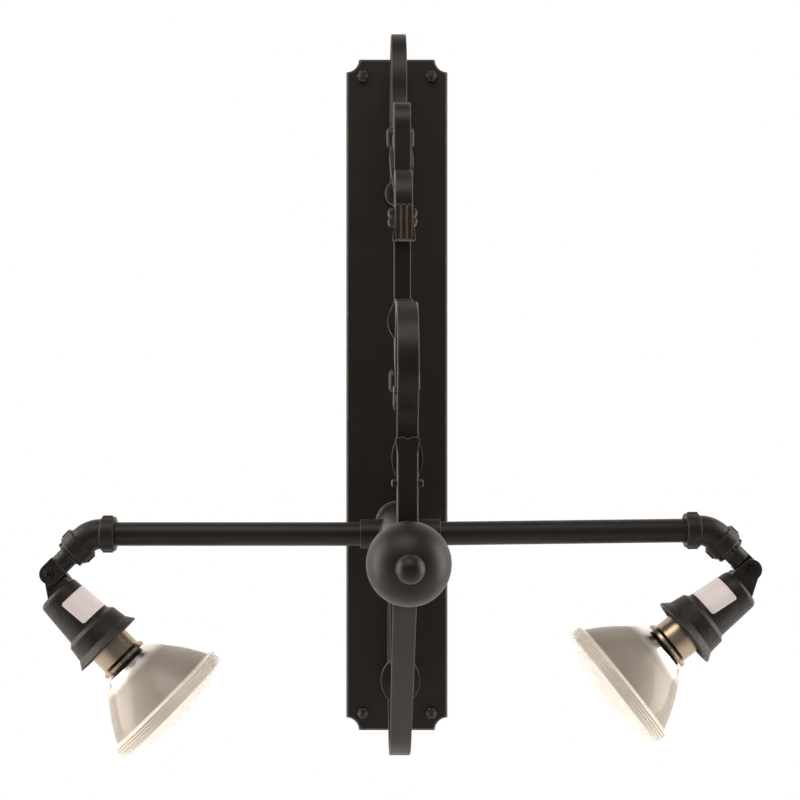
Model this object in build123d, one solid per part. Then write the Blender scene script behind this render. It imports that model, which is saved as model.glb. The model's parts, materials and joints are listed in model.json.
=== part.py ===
from build123d import *
from math import acos, cos, degrees, radians, sin, sqrt
import os

# Twin-lamp wall light on a scrolled bracket. Millimetres, +Z up, wall plane at Y = 0, front towards -Y.
# Origin: on the wall plane, level with the boom's axis, midway between the two junction-box screws.

# Back plate: a shallow pan with quarter-round notched corners
PLATE_WIDTH = 101.6
PLATE_HEIGHT = 673.1
PLATE_DEPTH = 20.0
PLATE_FRONT_SHEET = 3.2
PLATE_SIDE_WALL = 2.5
PLATE_EDGE_BEVEL = 1.6
NOTCH_RADIUS = 12.7
BOOM_ABOVE_PLATE_BOTTOM = 208.5

# Wall bracket inside the pan
WALL_BRACKET_WIDTH = 80.0
WALL_BRACKET_END = 6.0
WALL_BRACKET_THICKNESS = 3.0
BOX_SCREW_SPACING = 88.9
BOX_SCREW_HOLE_RADIUS = 2.4
WALL_SCREW_SPACING_X = 50.8
WALL_SCREW_SPACING_Z = 558.8
WALL_SCREW_HOLE_RADIUS = 3.2
WIRE_HOLE_RADIUS = 11.0
BUSHING_WALL = 1.6
BUSHING_FLANGE = 2.0

# Corner studs and acorn nuts
STUD_RADIUS = 2.4
STUD_SPACING_X = 69.0
STUD_INSET_Z = 17.55
STUD_SPACING_Z = PLATE_HEIGHT - 2 * STUD_INSET_Z
WALL_BRACKET_HEIGHT = STUD_SPACING_Z + 2 * WALL_BRACKET_END
STUD_HOLE_CLEARANCE = 0.4
STUD_PAST_PLATE = 6.0
ACORN_ACROSS_FLATS = 9.5
ACORN_HEX_HEIGHT = 4.2
ACORN_DOME_RADIUS = 4.5
ACORN_HEIGHT = 9.6

# Boom and its front finial
BOOM_RADIUS = 19.05
BOOM_WALL = 2.0
BOOM_PLATE_HOLE_RADIUS = 11.0
WELD_BEAD = 2.4
BALL_RADIUS = 30.5
BALL_CENTRE_OUT = 410.0
KNOB_RADIUS = 10.3
KNOB_FLAT_RADIUS = 8.0
FINIAL_STUD_RADIUS = 3.175
FINIAL_STUD_CLEARANCE = 0.25
BOOM_CAP_THICKNESS = 6.0
BOOM_CAP_CLEARANCE = 0.05
KNOB_THREAD_DEPTH = 7.0

# Scrolled bracket of flat bar, bent in the plane X = 0 ("out" is the distance in front of the back plate)
BAR_WIDTH = 14.3
BAR_THICKNESS = 5.0
BAR_EDGE_RADIUS = 0.9
CREST_ABOVE_PLATE = 8.0
CREST_RADIUS = 52.0
CREST_FOOT = 80.0
CREST_LEAF_WIDTH = 24.0
CREST_LEAF_HEIGHT = 26.0
CREST_LEAF_LAP = 4.0
CREST_LEAF_DISH = 22.0
CREST_LEAF_THICKNESS = 2.5
CREST_DROP = 8.0
SHOULDER_RADIUS = 60.0
SHOULDER_TURN = 60.0
SHOULDER_RUN = 79.0
WAIST_RADIUS = 30.0
SWEEP_RADIUS = 60.0
SWEEP_TURN = 70.0
KNEE_RADIUS = 50.0
LEG_OUT = 370.0
LEG_TOP = 66.0
SHOULDER_SWELL_WIDTH = 20.8
SHOULDER_SWELL_TOP = 347.0
SHOULDER_SWELL_LENGTH = 52.0
KNEE_SWELL_WIDTH = 23.2
KNEE_SWELL_TOP = 89.4
KNEE_SWELL_LENGTH = 31.0

UPPER_CROOK_FOOT = 42.0
UPPER_CROOK_HEEL_RADIUS = 9.0
UPPER_CROOK_RISE = 3.1
UPPER_CROOK_RADIUS = 18.5
UPPER_CROOK_DROP = 52.4
MIDDLE_CROOK_START_SHARE = 0.42
MIDDLE_CROOK_FOOT_SHARE = 0.7
MIDDLE_CROOK_RADIUS = 25.0
MIDDLE_CROOK_DROP = 34.0
LOWER_CROOK_START = 37.0
LOWER_CROOK_FOOT = 36.0
LOWER_CROOK_RADIUS = 27.0
LOWER_CROOK_DROP = 20.0
LOWER_CROOK_SWELL_WIDTH = 25.8
LOWER_CROOK_SWELL_RISE = 28.0
FRONT_ARCH_WIDTH = 15.9
FRONT_ARCH_START = 80.0
FRONT_ARCH_FOOT = 20.0
FRONT_ARCH_HEEL_RADIUS = 18.0
FRONT_ARCH_RADIUS = 46.5
FRONT_ARCH_SWAY_RADIUS = 33.0
FRONT_RISER_WIDTH = 15.0
FRONT_RISER_TOP = 90.0
FRONT_RISER_FLARE = 18.5
FRONT_RISER_FLARE_LENGTH = 12.0

# Fluted fishtail end of the middle crook
FISHTAIL_WIDTH = 19.0
FISHTAIL_LENGTH = 28.0
FISHTAIL_LOBES = 4
FLUTE_RADIUS = 2.2
FLUTE_DEPTH = 0.9
LOBE_RISE = 1.6

# Double-bead collars that tie the bars
COLLAR_SIDE = 5.2
COLLAR_WALL = 2.8
COLLAR_BEAD = 7.4
COLLAR_ROUND = 3.4
SLIM_COLLAR_SIDE = 1.8
SLIM_COLLAR_ROUND = 1.6
TIE_SIDE = 3.8
TIE_WALL = 1.4
TIE_LENGTH = 5.0
TIE_ROUND = 1.2
TIE_HEIGHT = 55.7

# Lower brace, a wider bar with a dished leaf at its inner end
BRACE_WIDTH = 19.05
BRACE_TOP_RADIUS = 40.0
BRACE_SLOPE = 45.0
BRACE_LOOP_RADIUS = 95.0
BRACE_LOOP_ABOVE_PLATE_BOTTOM = 1.0
BRACE_CURL_RADIUS = 75.0
BRACE_LEAF_WIDTH = 35.0
BRACE_LEAF_HEIGHT = 42.0
BRACE_LEAF_DISH = 60.0
BRACE_LEAF_THICKNESS = 3.0

# Bracket screws, driven from inside the pan
BRACKET_SCREW_RADIUS = 2.5
BRACKET_SCREW_HEAD_RADIUS = 4.6
BRACKET_SCREW_HEAD_HEIGHT = 3.2
BRACKET_SCREW_BITE = 4.2

# Arms: half-inch pipe in welded collars, 45 degree elbows
ARM_OUT = 144.0
PIPE_RADIUS = 10.67
PIPE_WALL = 2.77
PIPE_CLEARANCE = 0.1
COLLAR_PIPE_RADIUS = 13.35
COLLAR_PIPE_END = 36.0
PIPE_INNER_END = 20.5
WIRE_PASSAGE_RADIUS = 7.5
ELBOW_MOUTH = 256.0
ELBOW_CENTRE_TO_END = 22.4
ELBOW_BEND_RADIUS = 22.0
ELBOW_TURN = 45.0
ELBOW_BODY_RADIUS = 13.5
ELBOW_BAND_RADIUS = 15.5
ELBOW_BAND_LENGTH = 12.6
ELBOW_THREAD_DEPTH = 12.7
ELBOW_PASSAGE_RADIUS = 8.0
ELBOW_RIB_WIDTH = 5.0
ELBOW_RIB_RISE = 1.2
RIGHT_ARM_RISE = 0.7

# Swivel stem and knuckle
STEM_LENGTH = 27.5
STEM_RADIUS = 9.35
STEM_THREAD_RADIUS = 10.69
STEM_THREAD_LENGTH = 11.5
STEM_BORE_RADIUS = 4.0
STEM_SHOULDER = 11.2
EAR_THICKNESS = 8.4
EAR_GAP = 0.15
LOCKNUT_RADIUS = 13.6
LOCKNUT_THICKNESS = 4.2
LOCKNUT_NOTCHES = 6
LOCKNUT_NOTCH_WIDTH = 3.4
LOCKNUT_GAP = 0.1
KNUCKLE_SCREW_RADIUS = 2.5
KNUCKLE_SCREW_CLEARANCE = 0.08
KNUCKLE_HEAD_RADIUS = 4.4
KNUCKLE_HEAD_HEIGHT = 2.6
KNUCKLE_RECESS_RADIUS = 5.2
KNUCKLE_RECESS_DEPTH = 2.0
KNUCKLE_DRIVE_WIDTH = 1.1
KNUCKLE_DRIVE_LENGTH = 5.0
KNUCKLE_DRIVE_DEPTH = 1.2
KNUCKLE_NUT_FLATS = 8.0
KNUCKLE_NUT_HEIGHT = 3.4

# Lampholder; heights are from the knuckle's pivot along the lamp's axis
LAMP_OFFSET = 9.0
LEFT_LAMP_DROP = 45.0
RIGHT_LAMP_DROP = 37.9
HOLDER_BACK = 15.0
HOLDER_BACK_RADIUS = 19.0
HOLDER_BACK_ROUND = 5.0
HOLDER_BARREL_END = 57.0
HOLDER_BARREL_RADIUS = 22.5
HOLDER_STEP = 60.5
HOLDER_STEP_RADIUS = 26.2
HOLDER_FLARE_START = 74.0
HOLDER_FLARE_RADIUS = 28.0
HOLDER_LIP = 82.0
HOLDER_LIP_RADIUS = 32.5
HOLDER_LIP_EDGE = 1.4
HOLDER_WALL = 3.0
NECK_START = 12.0

# Socket inside the lampholder
SOCKET_BACK = 22.0
SOCKET_FLOOR = 33.0
SOCKET_TOP = 64.0
SOCKET_RADIUS = 17.0
SHELL_WALL = 0.5
SHELL_CLEARANCE = 0.3
SHELL_START = 36.0
CONTACT_RADIUS = 4.0
CONTACT_CLEARANCE = 0.3
CONTACT_CHAMFER = 1.5
GASKET_THICKNESS = 7.0
GASKET_INNER_RADIUS = 21.5

# Blank rating label
LABEL_THICKNESS = 0.3
LABEL_LENGTH = 26.4
LABEL_WIDTH = 32.0
LABEL_CENTRE = 40.5
LABEL_TURN = 52.0
LABEL_CORNER = 2.0

# Reflector bulb with an Edison screw base and a crimped skirt
BULB_TIP = 40.0
BULB_TIP_RADIUS = 3.8
BULB_TIP_THICKNESS = 1.2
BULB_CONE_RADIUS = 4.8
BULB_BASE_START = 46.0
BULB_BASE_END = 68.0
BULB_BASE_RADIUS = 13.1
BULB_BASE_WALL = 1.5
BULB_THREAD_PITCH = 3.63
BULB_THREAD_TURNS = 5
BULB_THREAD_START = 2.2
BULB_THREAD_RADIUS = 1.3
BULB_THREAD_DEPTH = 0.7
BULB_INSULATOR_LAP = 3.0
BULB_SKIRT_CONE_END = 74.0
BULB_SKIRT_RADIUS = 19.4
BULB_SKIRT_END = 97.0
BULB_SKIRT_WALL = 0.6
BULB_CRIMP_RADIUS = 22.4
BULB_CRIMP_KNEE = 100.0
BULB_CRIMP_END = 102.5
BULB_CRIMP_TABS = 12
BULB_CRIMP_SLOT = 1.4
BULB_SHOULDER = 107.0
BULB_SHOULDER_RADIUS = 26.8
BULB_BOWL_STEP = 121.0
BULB_BOWL_STEP_RADIUS = 37.4
BULB_BOWL_MIDDLE = 135.5
BULB_BOWL_MIDDLE_RADIUS = 47.6
BULB_BOWL_END = 151.0
BULB_BOWL_END_RADIUS = 56.0
BULB_RIM_RADIUS = 60.5
BULB_RIM_END = 159.5
BULB_RIM_BEVEL = 1.5
BULB_GLASS_WALL = 2.2
LENS_EDGE = 163.0
LENS_APEX = 175.0
LENS_THICKNESS = 3.2
CAPSULE_RADIUS = 6.5
CAPSULE_START = 110.0
CAPSULE_LENGTH = 34.0
CAPSULE_LEAD_RADIUS = 0.8
CAPSULE_LEAD_SPACING = 7.0
CAPSULE_MOUNT_START = 78.0
CAPSULE_MOUNT_THICKNESS = 3.0

# Worked-out places
PLATE_BOTTOM = -BOOM_ABOVE_PLATE_BOTTOM
PLATE_TOP = PLATE_BOTTOM + PLATE_HEIGHT
PLATE_MIDDLE = (PLATE_BOTTOM + PLATE_TOP) / 2
BOOM_LENGTH = BALL_CENTRE_OUT - sqrt(BALL_RADIUS**2 - BOOM_RADIUS**2)
ARM_Y = -PLATE_DEPTH - ARM_OUT
FAR = 1000.0
SHELL_OUTER_RADIUS = BULB_BASE_RADIUS + SHELL_CLEARANCE + SHELL_WALL
CONTACT_HEIGHT = BULB_TIP - CONTACT_CLEARANCE - SOCKET_FLOOR

# Side view plane: local X runs out from the plate's front face, local Y runs up
SIDE = Plane(origin=(0, -PLATE_DEPTH, 0), x_dir=(0, -1, 0), z_dir=(-1, 0, 0))


def out(distance):
    """Y of a point this far in front of the back plate."""
    return -PLATE_DEPTH - distance


def along_y(shape, x, y, z):
    """Turns a shape built along +Z so that its +Z points to the front (-Y), and places it."""
    return Pos(x, y, z) * Rot(90, 0, 0) * shape


def grid(spacing_x, spacing_z, middle_z):
    """The four corners of a rectangle on the wall plane."""
    return [
        (sx * spacing_x / 2, middle_z + sz * spacing_z / 2)
        for sx in (-1, 1)
        for sz in (-1, 1)
    ]


# ---------------------------------------------------------------- back plate
def notched_outline(inset):
    """Plate outline with concave quarter-round corners, shrunk by inset."""
    face = Rectangle(PLATE_WIDTH - 2 * inset, PLATE_HEIGHT - 2 * inset)
    for x, z in grid(PLATE_WIDTH, PLATE_HEIGHT, 0):
        face -= Pos(x, z) * Circle(NOTCH_RADIUS + inset)
    return face


def back_plate():
    front_to_wall = Plane(origin=(0, -PLATE_DEPTH, PLATE_MIDDLE), x_dir=(1, 0, 0), z_dir=(0, -1, 0))
    pan = extrude(front_to_wall * notched_outline(0), -PLATE_DEPTH)
    front_edges = pan.faces().sort_by(Axis.Y)[0].edges()
    pan = chamfer(front_edges, PLATE_EDGE_BEVEL)
    hollow = extrude(front_to_wall * notched_outline(PLATE_SIDE_WALL), -PLATE_DEPTH)
    pan -= Pos(0, PLATE_FRONT_SHEET, 0) * hollow
    for x, z in grid(STUD_SPACING_X, STUD_SPACING_Z, PLATE_MIDDLE):
        pan -= along_y(Cylinder(STUD_RADIUS + STUD_HOLE_CLEARANCE, 4 * PLATE_DEPTH), x, 0, z)
    pan -= along_y(Cylinder(BOOM_PLATE_HOLE_RADIUS, 4 * PLATE_DEPTH), 0, 0, 0)
    for z in bracket_screw_heights():
        pan -= along_y(Cylinder(BRACKET_SCREW_RADIUS, 4 * PLATE_DEPTH), 0, 0, z)
    return pan


def wall_bracket():
    strip = Pos(0, -WALL_BRACKET_THICKNESS / 2, PLATE_MIDDLE) * Box(
        WALL_BRACKET_WIDTH, WALL_BRACKET_THICKNESS, WALL_BRACKET_HEIGHT
    )
    for x, z in grid(STUD_SPACING_X, STUD_SPACING_Z, PLATE_MIDDLE):
        strip -= along_y(Cylinder(STUD_RADIUS, 4 * PLATE_DEPTH), x, 0, z)
    for x, z in grid(WALL_SCREW_SPACING_X, WALL_SCREW_SPACING_Z, PLATE_MIDDLE):
        strip -= along_y(Cylinder(WALL_SCREW_HOLE_RADIUS, 4 * PLATE_DEPTH), x, 0, z)
    for side in (-1, 1):
        strip -= along_y(Cylinder(BOX_SCREW_HOLE_RADIUS, 4 * PLATE_DEPTH), 0, 0, side * BOX_SCREW_SPACING / 2)
    strip -= along_y(Cylinder(WIRE_HOLE_RADIUS, 4 * PLATE_DEPTH), 0, 0, 0)
    return strip


def wire_bushing():
    """Snap bushing that lines the bracket's wire hole."""
    bore = WIRE_HOLE_RADIUS - BUSHING_WALL
    sleeve = along_y(
        extrude(Circle(WIRE_HOLE_RADIUS) - Circle(bore), WALL_BRACKET_THICKNESS + BUSHING_FLANGE), 0, 0, 0
    )
    flange_face = Circle(WIRE_HOLE_RADIUS + BUSHING_FLANGE) - Circle(bore)
    flange = along_y(extrude(flange_face, BUSHING_FLANGE), 0, -WALL_BRACKET_THICKNESS, 0)
    return sleeve + flange


def corner_studs():
    length = PLATE_DEPTH + STUD_PAST_PLATE
    stud = extrude(Circle(STUD_RADIUS), length)
    stud = chamfer(stud.faces().sort_by(Axis.Z)[-1].edges(), STUD_RADIUS / 4)
    return [along_y(stud, x, 0, z) for x, z in grid(STUD_SPACING_X, STUD_SPACING_Z, PLATE_MIDDLE)]


def acorn_nuts():
    hexagon = extrude(RegularPolygon(ACORN_ACROSS_FLATS / 2, 6, major_radius=False), ACORN_HEX_HEIGHT)
    dome_straight = ACORN_HEIGHT - ACORN_DOME_RADIUS
    dome = extrude(Circle(ACORN_DOME_RADIUS), dome_straight)
    dome += Pos(0, 0, dome_straight) * Sphere(ACORN_DOME_RADIUS)
    nut = hexagon + dome
    nut -= extrude(Circle(STUD_RADIUS), STUD_PAST_PLATE)
    corners = grid(STUD_SPACING_X, STUD_SPACING_Z, PLATE_MIDDLE)
    return [along_y(nut, x, -PLATE_DEPTH, z) for x, z in corners]


# ---------------------------------------------------------------- boom and finial
def boom_tube():
    """Boom with its fillet weld at the plate and the two wire passages into the arms."""
    tube = extrude(Circle(BOOM_RADIUS) - Circle(BOOM_RADIUS - BOOM_WALL), BOOM_LENGTH)
    for side in (-1, 1):
        passage = Rot(0, side * 90, 0) * extrude(Circle(WIRE_PASSAGE_RADIUS), 2 * BOOM_RADIUS)
        tube -= Pos(0, 0, ARM_OUT) * passage
    weld = Cone(BOOM_RADIUS + WELD_BEAD, BOOM_RADIUS, WELD_BEAD, align=(Align.CENTER, Align.CENTER, Align.MIN))
    weld -= Cylinder(BOOM_RADIUS - BOOM_WALL, FAR)
    return along_y(tube + weld, 0, out(0), 0)


def boom_cap():
    """Plug in the boom's front end, drilled for the finial's stud."""
    cap = extrude(Circle(BOOM_RADIUS - BOOM_WALL - BOOM_CAP_CLEARANCE), -BOOM_CAP_THICKNESS)
    cap -= Cylinder(FINIAL_STUD_RADIUS, FAR)
    return along_y(cap, 0, out(BOOM_LENGTH), 0)


def knob_seat():
    """Distance from the plate at which the front knob sits on the ball."""
    return BALL_CENTRE_OUT + sqrt(BALL_RADIUS**2 - KNOB_FLAT_RADIUS**2)


def finial_ball():
    ball = Pos(0, 0, BALL_CENTRE_OUT) * Sphere(BALL_RADIUS)
    slab = Pos(0, 0, (BOOM_LENGTH + knob_seat()) / 2) * Box(FAR, FAR, knob_seat() - BOOM_LENGTH)
    ball = ball & slab
    ball -= Cylinder(FINIAL_STUD_RADIUS + FINIAL_STUD_CLEARANCE, FAR)
    return along_y(ball, 0, out(0), 0)


def finial_knob():
    knob = Pos(0, 0, sqrt(KNOB_RADIUS**2 - KNOB_FLAT_RADIUS**2)) * Sphere(KNOB_RADIUS)
    knob &= extrude(Rectangle(FAR, FAR), FAR)
    knob -= extrude(Circle(FINIAL_STUD_RADIUS), KNOB_THREAD_DEPTH)
    return along_y(knob, 0, out(knob_seat()), 0)


def finial_stud():
    start = BOOM_LENGTH - BOOM_CAP_THICKNESS
    rod = Pos(0, 0, start) * extrude(Circle(FINIAL_STUD_RADIUS), knob_seat() + KNOB_THREAD_DEPTH - start)
    return along_y(rod, 0, out(0), 0)


# ---------------------------------------------------------------- flat bar bent in the side plane
def step_pose(point, heading, step):
    """Point and heading, in degrees, after a straight run or an arc ("turn" is positive to the left)."""
    if step[0] == "run":
        length = step[1]
        moved = (point[0] + length * cos(radians(heading)), point[1] + length * sin(radians(heading)))
        return moved, heading
    radius, turn = step[1], step[2]
    side = 1 if turn > 0 else -1
    normal = radians(heading + 90 * side)
    centre = (point[0] + radius * cos(normal), point[1] + radius * sin(normal))
    spoke = radians(heading - 90 * side + turn)
    return (centre[0] + radius * cos(spoke), centre[1] + radius * sin(spoke)), heading + turn


def beside(point, heading, distance):
    """The point this far to the left of a path."""
    normal = radians(heading + 90)
    return point[0] + distance * cos(normal), point[1] + distance * sin(normal)


def partial(step, share):
    if step[0] == "run":
        return ("run", step[1] * share)
    return ("arc", step[1], step[2] * share)


def strip(point, heading, steps, thickness=BAR_THICKNESS):
    """Side view of a bar whose centre line follows the steps."""
    left, right = [], []
    start = (point, heading)
    for step in steps:
        middle = step_pose(point, heading, partial(step, 0.5))
        end = step_pose(point, heading, step)
        for edges, distance in ((left, thickness / 2), (right, -thickness / 2)):
            a, b, c = (beside(*pose, distance) for pose in ((point, heading), middle, end))
            edges.append(Line(a, c) if step[0] == "run" else ThreePointArc(a, b, c))
        point, heading = end
    ends = [
        Line(beside(*pose, thickness / 2), beside(*pose, -thickness / 2))
        for pose in (start, (point, heading))
    ]
    return make_face([*left, *right, *ends])


def bar(point, heading, steps, width=BAR_WIDTH):
    solid = extrude(SIDE * strip(point, heading, steps), width / 2, both=True)
    long_edges = solid.edges().filter_by(lambda e: abs(abs(e.center().X) - width / 2) < width / 100)
    return fillet(long_edges, BAR_EDGE_RADIUS)


def poses(point, heading, steps):
    """The pose at the start of each step and at the end of the last."""
    found = [(point, heading)]
    for step in steps:
        found.append(step_pose(*found[-1], step))
    return found


def from_front(outline, top):
    """Prism through the whole depth, from an outline in X and Z whose zero is at this height."""
    face = Plane(origin=(0, 0, top), x_dir=(1, 0, 0), z_dir=(0, -1, 0)) * outline
    return extrude(face, FAR)


def boom_solid():
    return along_y(Cylinder(BOOM_RADIUS, 2 * FAR), 0, 0, 0)


# ---------------------------------------------------------------- the main bar
CREST_OUT = BAR_THICKNESS / 2 + 2 * CREST_RADIUS
CREST_CENTRE = PLATE_TOP + CREST_ABOVE_PLATE - CREST_RADIUS - BAR_THICKNESS / 2
WAIST_OUT = (
    CREST_OUT
    + (SHOULDER_RADIUS + WAIST_RADIUS) * (1 - cos(radians(SHOULDER_TURN)))
    + SHOULDER_RUN * sin(radians(SHOULDER_TURN))
)
KNEE_ACROSS = (SWEEP_RADIUS + KNEE_RADIUS) * (1 - cos(radians(SWEEP_TURN)))
SWEEP_RUN = (LEG_OUT - WAIST_OUT - KNEE_ACROSS) / sin(radians(SWEEP_TURN))
SHOULDER_FALL = (SHOULDER_RADIUS + WAIST_RADIUS) * sin(radians(SHOULDER_TURN))
SHOULDER_FALL += SHOULDER_RUN * cos(radians(SHOULDER_TURN))
SWEEP_FALL = (SWEEP_RADIUS + KNEE_RADIUS) * sin(radians(SWEEP_TURN)) + SWEEP_RUN * cos(radians(SWEEP_TURN))
WAIST_RUN = CREST_CENTRE - CREST_DROP - SHOULDER_FALL - SWEEP_FALL - LEG_TOP
MIDDLE_CROOK_START = MIDDLE_CROOK_START_SHARE * WAIST_RUN
MIDDLE_CROOK_FOOT = MIDDLE_CROOK_FOOT_SHARE * MIDDLE_CROOK_START
MAIN_START = ((BAR_THICKNESS / 2, CREST_CENTRE - CREST_FOOT), 90)
MAIN_STEPS = [
    ("run", CREST_FOOT),
    ("arc", CREST_RADIUS, -180),
    ("run", CREST_DROP),
    ("arc", SHOULDER_RADIUS, SHOULDER_TURN),
    ("run", SHOULDER_RUN),
    ("arc", WAIST_RADIUS, -SHOULDER_TURN),
    ("run", WAIST_RUN),
    ("arc", SWEEP_RADIUS, SWEEP_TURN),
    ("run", SWEEP_RUN),
    ("arc", KNEE_RADIUS, -SWEEP_TURN),
]
MAIN_POSES = poses(*MAIN_START, MAIN_STEPS)
SHOULDER_POSE = MAIN_POSES[4]
WAIST_POSE = MAIN_POSES[6]
SWEEP_POSE = MAIN_POSES[8]
LEG_POSE = MAIN_POSES[-1]


def swell(start, steps, outline, top, width):
    """Widening of part of a bent bar, cut to an outline seen from the front."""
    return extrude(SIDE * strip(*start, steps), width / 2, both=True) & from_front(outline, top)


def swell_outline(width, length, fullest):
    """Bulge from the bar's width to a greater one and back; fullest is where it is widest, as a share of the length."""
    a, b = BAR_WIDTH / 2, width / 2
    edges = [Line((-a, 0), (a, 0)), Line((-a, -length), (a, -length))]
    for side in (-1, 1):
        widest = (side * b, -length * fullest)
        above = (side * (a + 0.75 * (b - a)), widest[1] / 2)
        below = (side * (a + 0.75 * (b - a)), (widest[1] - length) / 2)
        edges.append(ThreePointArc((side * a, 0), above, widest))
        edges.append(ThreePointArc(widest, below, (side * a, -length)))
    return make_face(edges)


def dished_leaf(dish_centre, height, size, dish, thickness):
    """Oval leaf cut from a thin ball shell whose centre is this far out, on the plate's side of it or the front's."""
    shell = Pos(0, out(dish_centre), height) * (Sphere(dish) - Sphere(dish - thickness))
    half = Plane(origin=(0, out(dish_centre), height), x_dir=(1, 0, 0), z_dir=(0, -1, 0))
    return shell, half * Ellipse(size[0] / 2, size[1] / 2)


def crest_leaf():
    """Dished leaf at the foot of the main bar, hollow to the front, lying on the plate."""
    height = MAIN_START[0][1] + CREST_LEAF_LAP - CREST_LEAF_HEIGHT / 2
    size = (CREST_LEAF_WIDTH, CREST_LEAF_HEIGHT)
    shell, oval = dished_leaf(CREST_LEAF_DISH, height, size, CREST_LEAF_DISH, CREST_LEAF_THICKNESS)
    return shell & extrude(oval, -FAR)


def main_bar():
    to_boom = ("run", LEG_POSE[0][1] - BOOM_RADIUS / 2)
    solid = bar(*MAIN_START, [*MAIN_STEPS, to_boom]) + crest_leaf()
    outline = swell_outline(SHOULDER_SWELL_WIDTH, SHOULDER_SWELL_LENGTH, 0.25)
    solid += swell(SHOULDER_POSE, MAIN_STEPS[4:6], outline, SHOULDER_SWELL_TOP, SHOULDER_SWELL_WIDTH)
    outline = swell_outline(KNEE_SWELL_WIDTH, KNEE_SWELL_LENGTH, 0.5)
    solid += swell(MAIN_POSES[9], [MAIN_STEPS[9], to_boom], outline, KNEE_SWELL_TOP, KNEE_SWELL_WIDTH)
    return drill_for_screws(solid - boom_solid())


def foot_pose(run_pose, distance, turn=180):
    """Start of a crook whose foot lies on the front of a straight run, heading back up the run or down it."""
    on_run = step_pose(*run_pose, ("run", distance))
    return beside(*on_run, BAR_THICKNESS), run_pose[1] + turn


def top_turn(heading):
    """Turn that brings a bar over its top to point straight down."""
    return -((heading + 90) % 360)


def fishtail_outline(start_width, end_width, length, lobes, rise, way=-1):
    """End that spreads from one width to another, with a row of round lobes along its edge."""
    a, b, edge = start_width / 2, end_width / 2, way * (length - rise)
    edges = [Line((-a, 0), (a, 0))]
    for side in (-1, 1):
        middle = (side * (a + (b - a) * 0.3), edge / 2)
        edges.append(ThreePointArc((side * a, 0), middle, (side * b, edge)))
    pitch = end_width / lobes
    for n in range(lobes):
        x = -b + n * pitch
        edges.append(ThreePointArc((x, edge), (x + pitch / 2, way * length), (x + pitch, edge)))
    return make_face(edges)


def shaped_end(point, heading, outline, length, width):
    """The end of a bar that runs straight up or down from this point, cut to an outline seen from the front."""
    solid = extrude(SIDE * strip(point, heading, [("run", length)]), width / 2, both=True)
    return solid & from_front(outline, point[1])


def crook(start, steps, drop, outline, length, width):
    """A bar that rises from its foot, bends over its top and hangs down to a shaped end."""
    heading = start[1]
    top = poses(*start, steps)[-1]
    plain = drop - length
    arched = bar(*start, [*steps, ("run", plain)])
    tip_point = step_pose(*top, ("run", plain))[0]
    return arched + shaped_end(tip_point, -90, outline, length, width)


def upper_crook():
    start = foot_pose(SHOULDER_POSE, 0, 0)
    heel = ("arc", UPPER_CROOK_HEEL_RADIUS, 90 - start[1])
    steps = [("run", UPPER_CROOK_FOOT), heel, ("run", UPPER_CROOK_RISE), ("arc", UPPER_CROOK_RADIUS, -180)]
    return bar(*start, [*steps, ("run", UPPER_CROOK_DROP)])


def middle_crook():
    start = foot_pose(WAIST_POSE, MIDDLE_CROOK_START)
    steps = [("run", MIDDLE_CROOK_FOOT), ("arc", MIDDLE_CROOK_RADIUS, top_turn(start[1]))]
    outline = fishtail_outline(BAR_WIDTH, FISHTAIL_WIDTH, FISHTAIL_LENGTH, FISHTAIL_LOBES, LOBE_RISE)
    solid = crook(start, steps, MIDDLE_CROOK_DROP, outline, FISHTAIL_LENGTH, FISHTAIL_WIDTH)
    end_out = start[0][0] + 2 * MIDDLE_CROOK_RADIUS
    end_height = poses(*start, steps)[-1][0][1] - MIDDLE_CROOK_DROP
    pitch = FISHTAIL_WIDTH / FISHTAIL_LOBES
    surface = end_out + BAR_THICKNESS / 2 + FLUTE_RADIUS - FLUTE_DEPTH
    for n in range(1, FISHTAIL_LOBES):
        x = -FISHTAIL_WIDTH / 2 + n * pitch
        groove = Cylinder(FLUTE_RADIUS, 2 * FISHTAIL_LENGTH) + Pos(0, 0, FISHTAIL_LENGTH) * Sphere(FLUTE_RADIUS)
        solid -= Pos(x, out(surface), end_height) * groove
    return solid


def lower_crook():
    start = foot_pose(SWEEP_POSE, LOWER_CROOK_START)
    steps = [("run", LOWER_CROOK_FOOT), ("arc", LOWER_CROOK_RADIUS, top_turn(start[1]))]
    rise_start = poses(*start, steps)[1]
    rise = [("arc", LOWER_CROOK_RADIUS, -rise_start[1])]
    crown = poses(*rise_start, rise)[-1][0][1]
    outline = swell_outline(LOWER_CROOK_SWELL_WIDTH, LOWER_CROOK_SWELL_RISE, 0.5)
    rear = swell(rise_start, rise, outline, crown, LOWER_CROOK_SWELL_WIDTH)
    return bar(*start, [*steps, ("run", LOWER_CROOK_DROP)]) + rear


def front_arch():
    """Arch from the sweep over to the boom's front, in front of the main bar's leg."""
    start = foot_pose(SWEEP_POSE, FRONT_ARCH_START)
    heel = ("arc", FRONT_ARCH_HEEL_RADIUS, 90 - start[1])
    steps = [("run", FRONT_ARCH_FOOT), heel, ("arc", FRONT_ARCH_RADIUS, -180)]
    crown_end = poses(*start, steps)[-1][0]
    shift = crown_end[0] - (LEG_OUT + BAR_THICKNESS)
    sway = degrees(acos(1 - shift / (2 * FRONT_ARCH_SWAY_RADIUS)))
    steps += [("arc", FRONT_ARCH_SWAY_RADIUS, -sway), ("arc", FRONT_ARCH_SWAY_RADIUS, sway)]
    down = poses(*start, steps)[-1][0][1]
    return bar(*start, [*steps, ("run", down - BOOM_RADIUS / 2)], FRONT_ARCH_WIDTH) - boom_solid()


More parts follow.
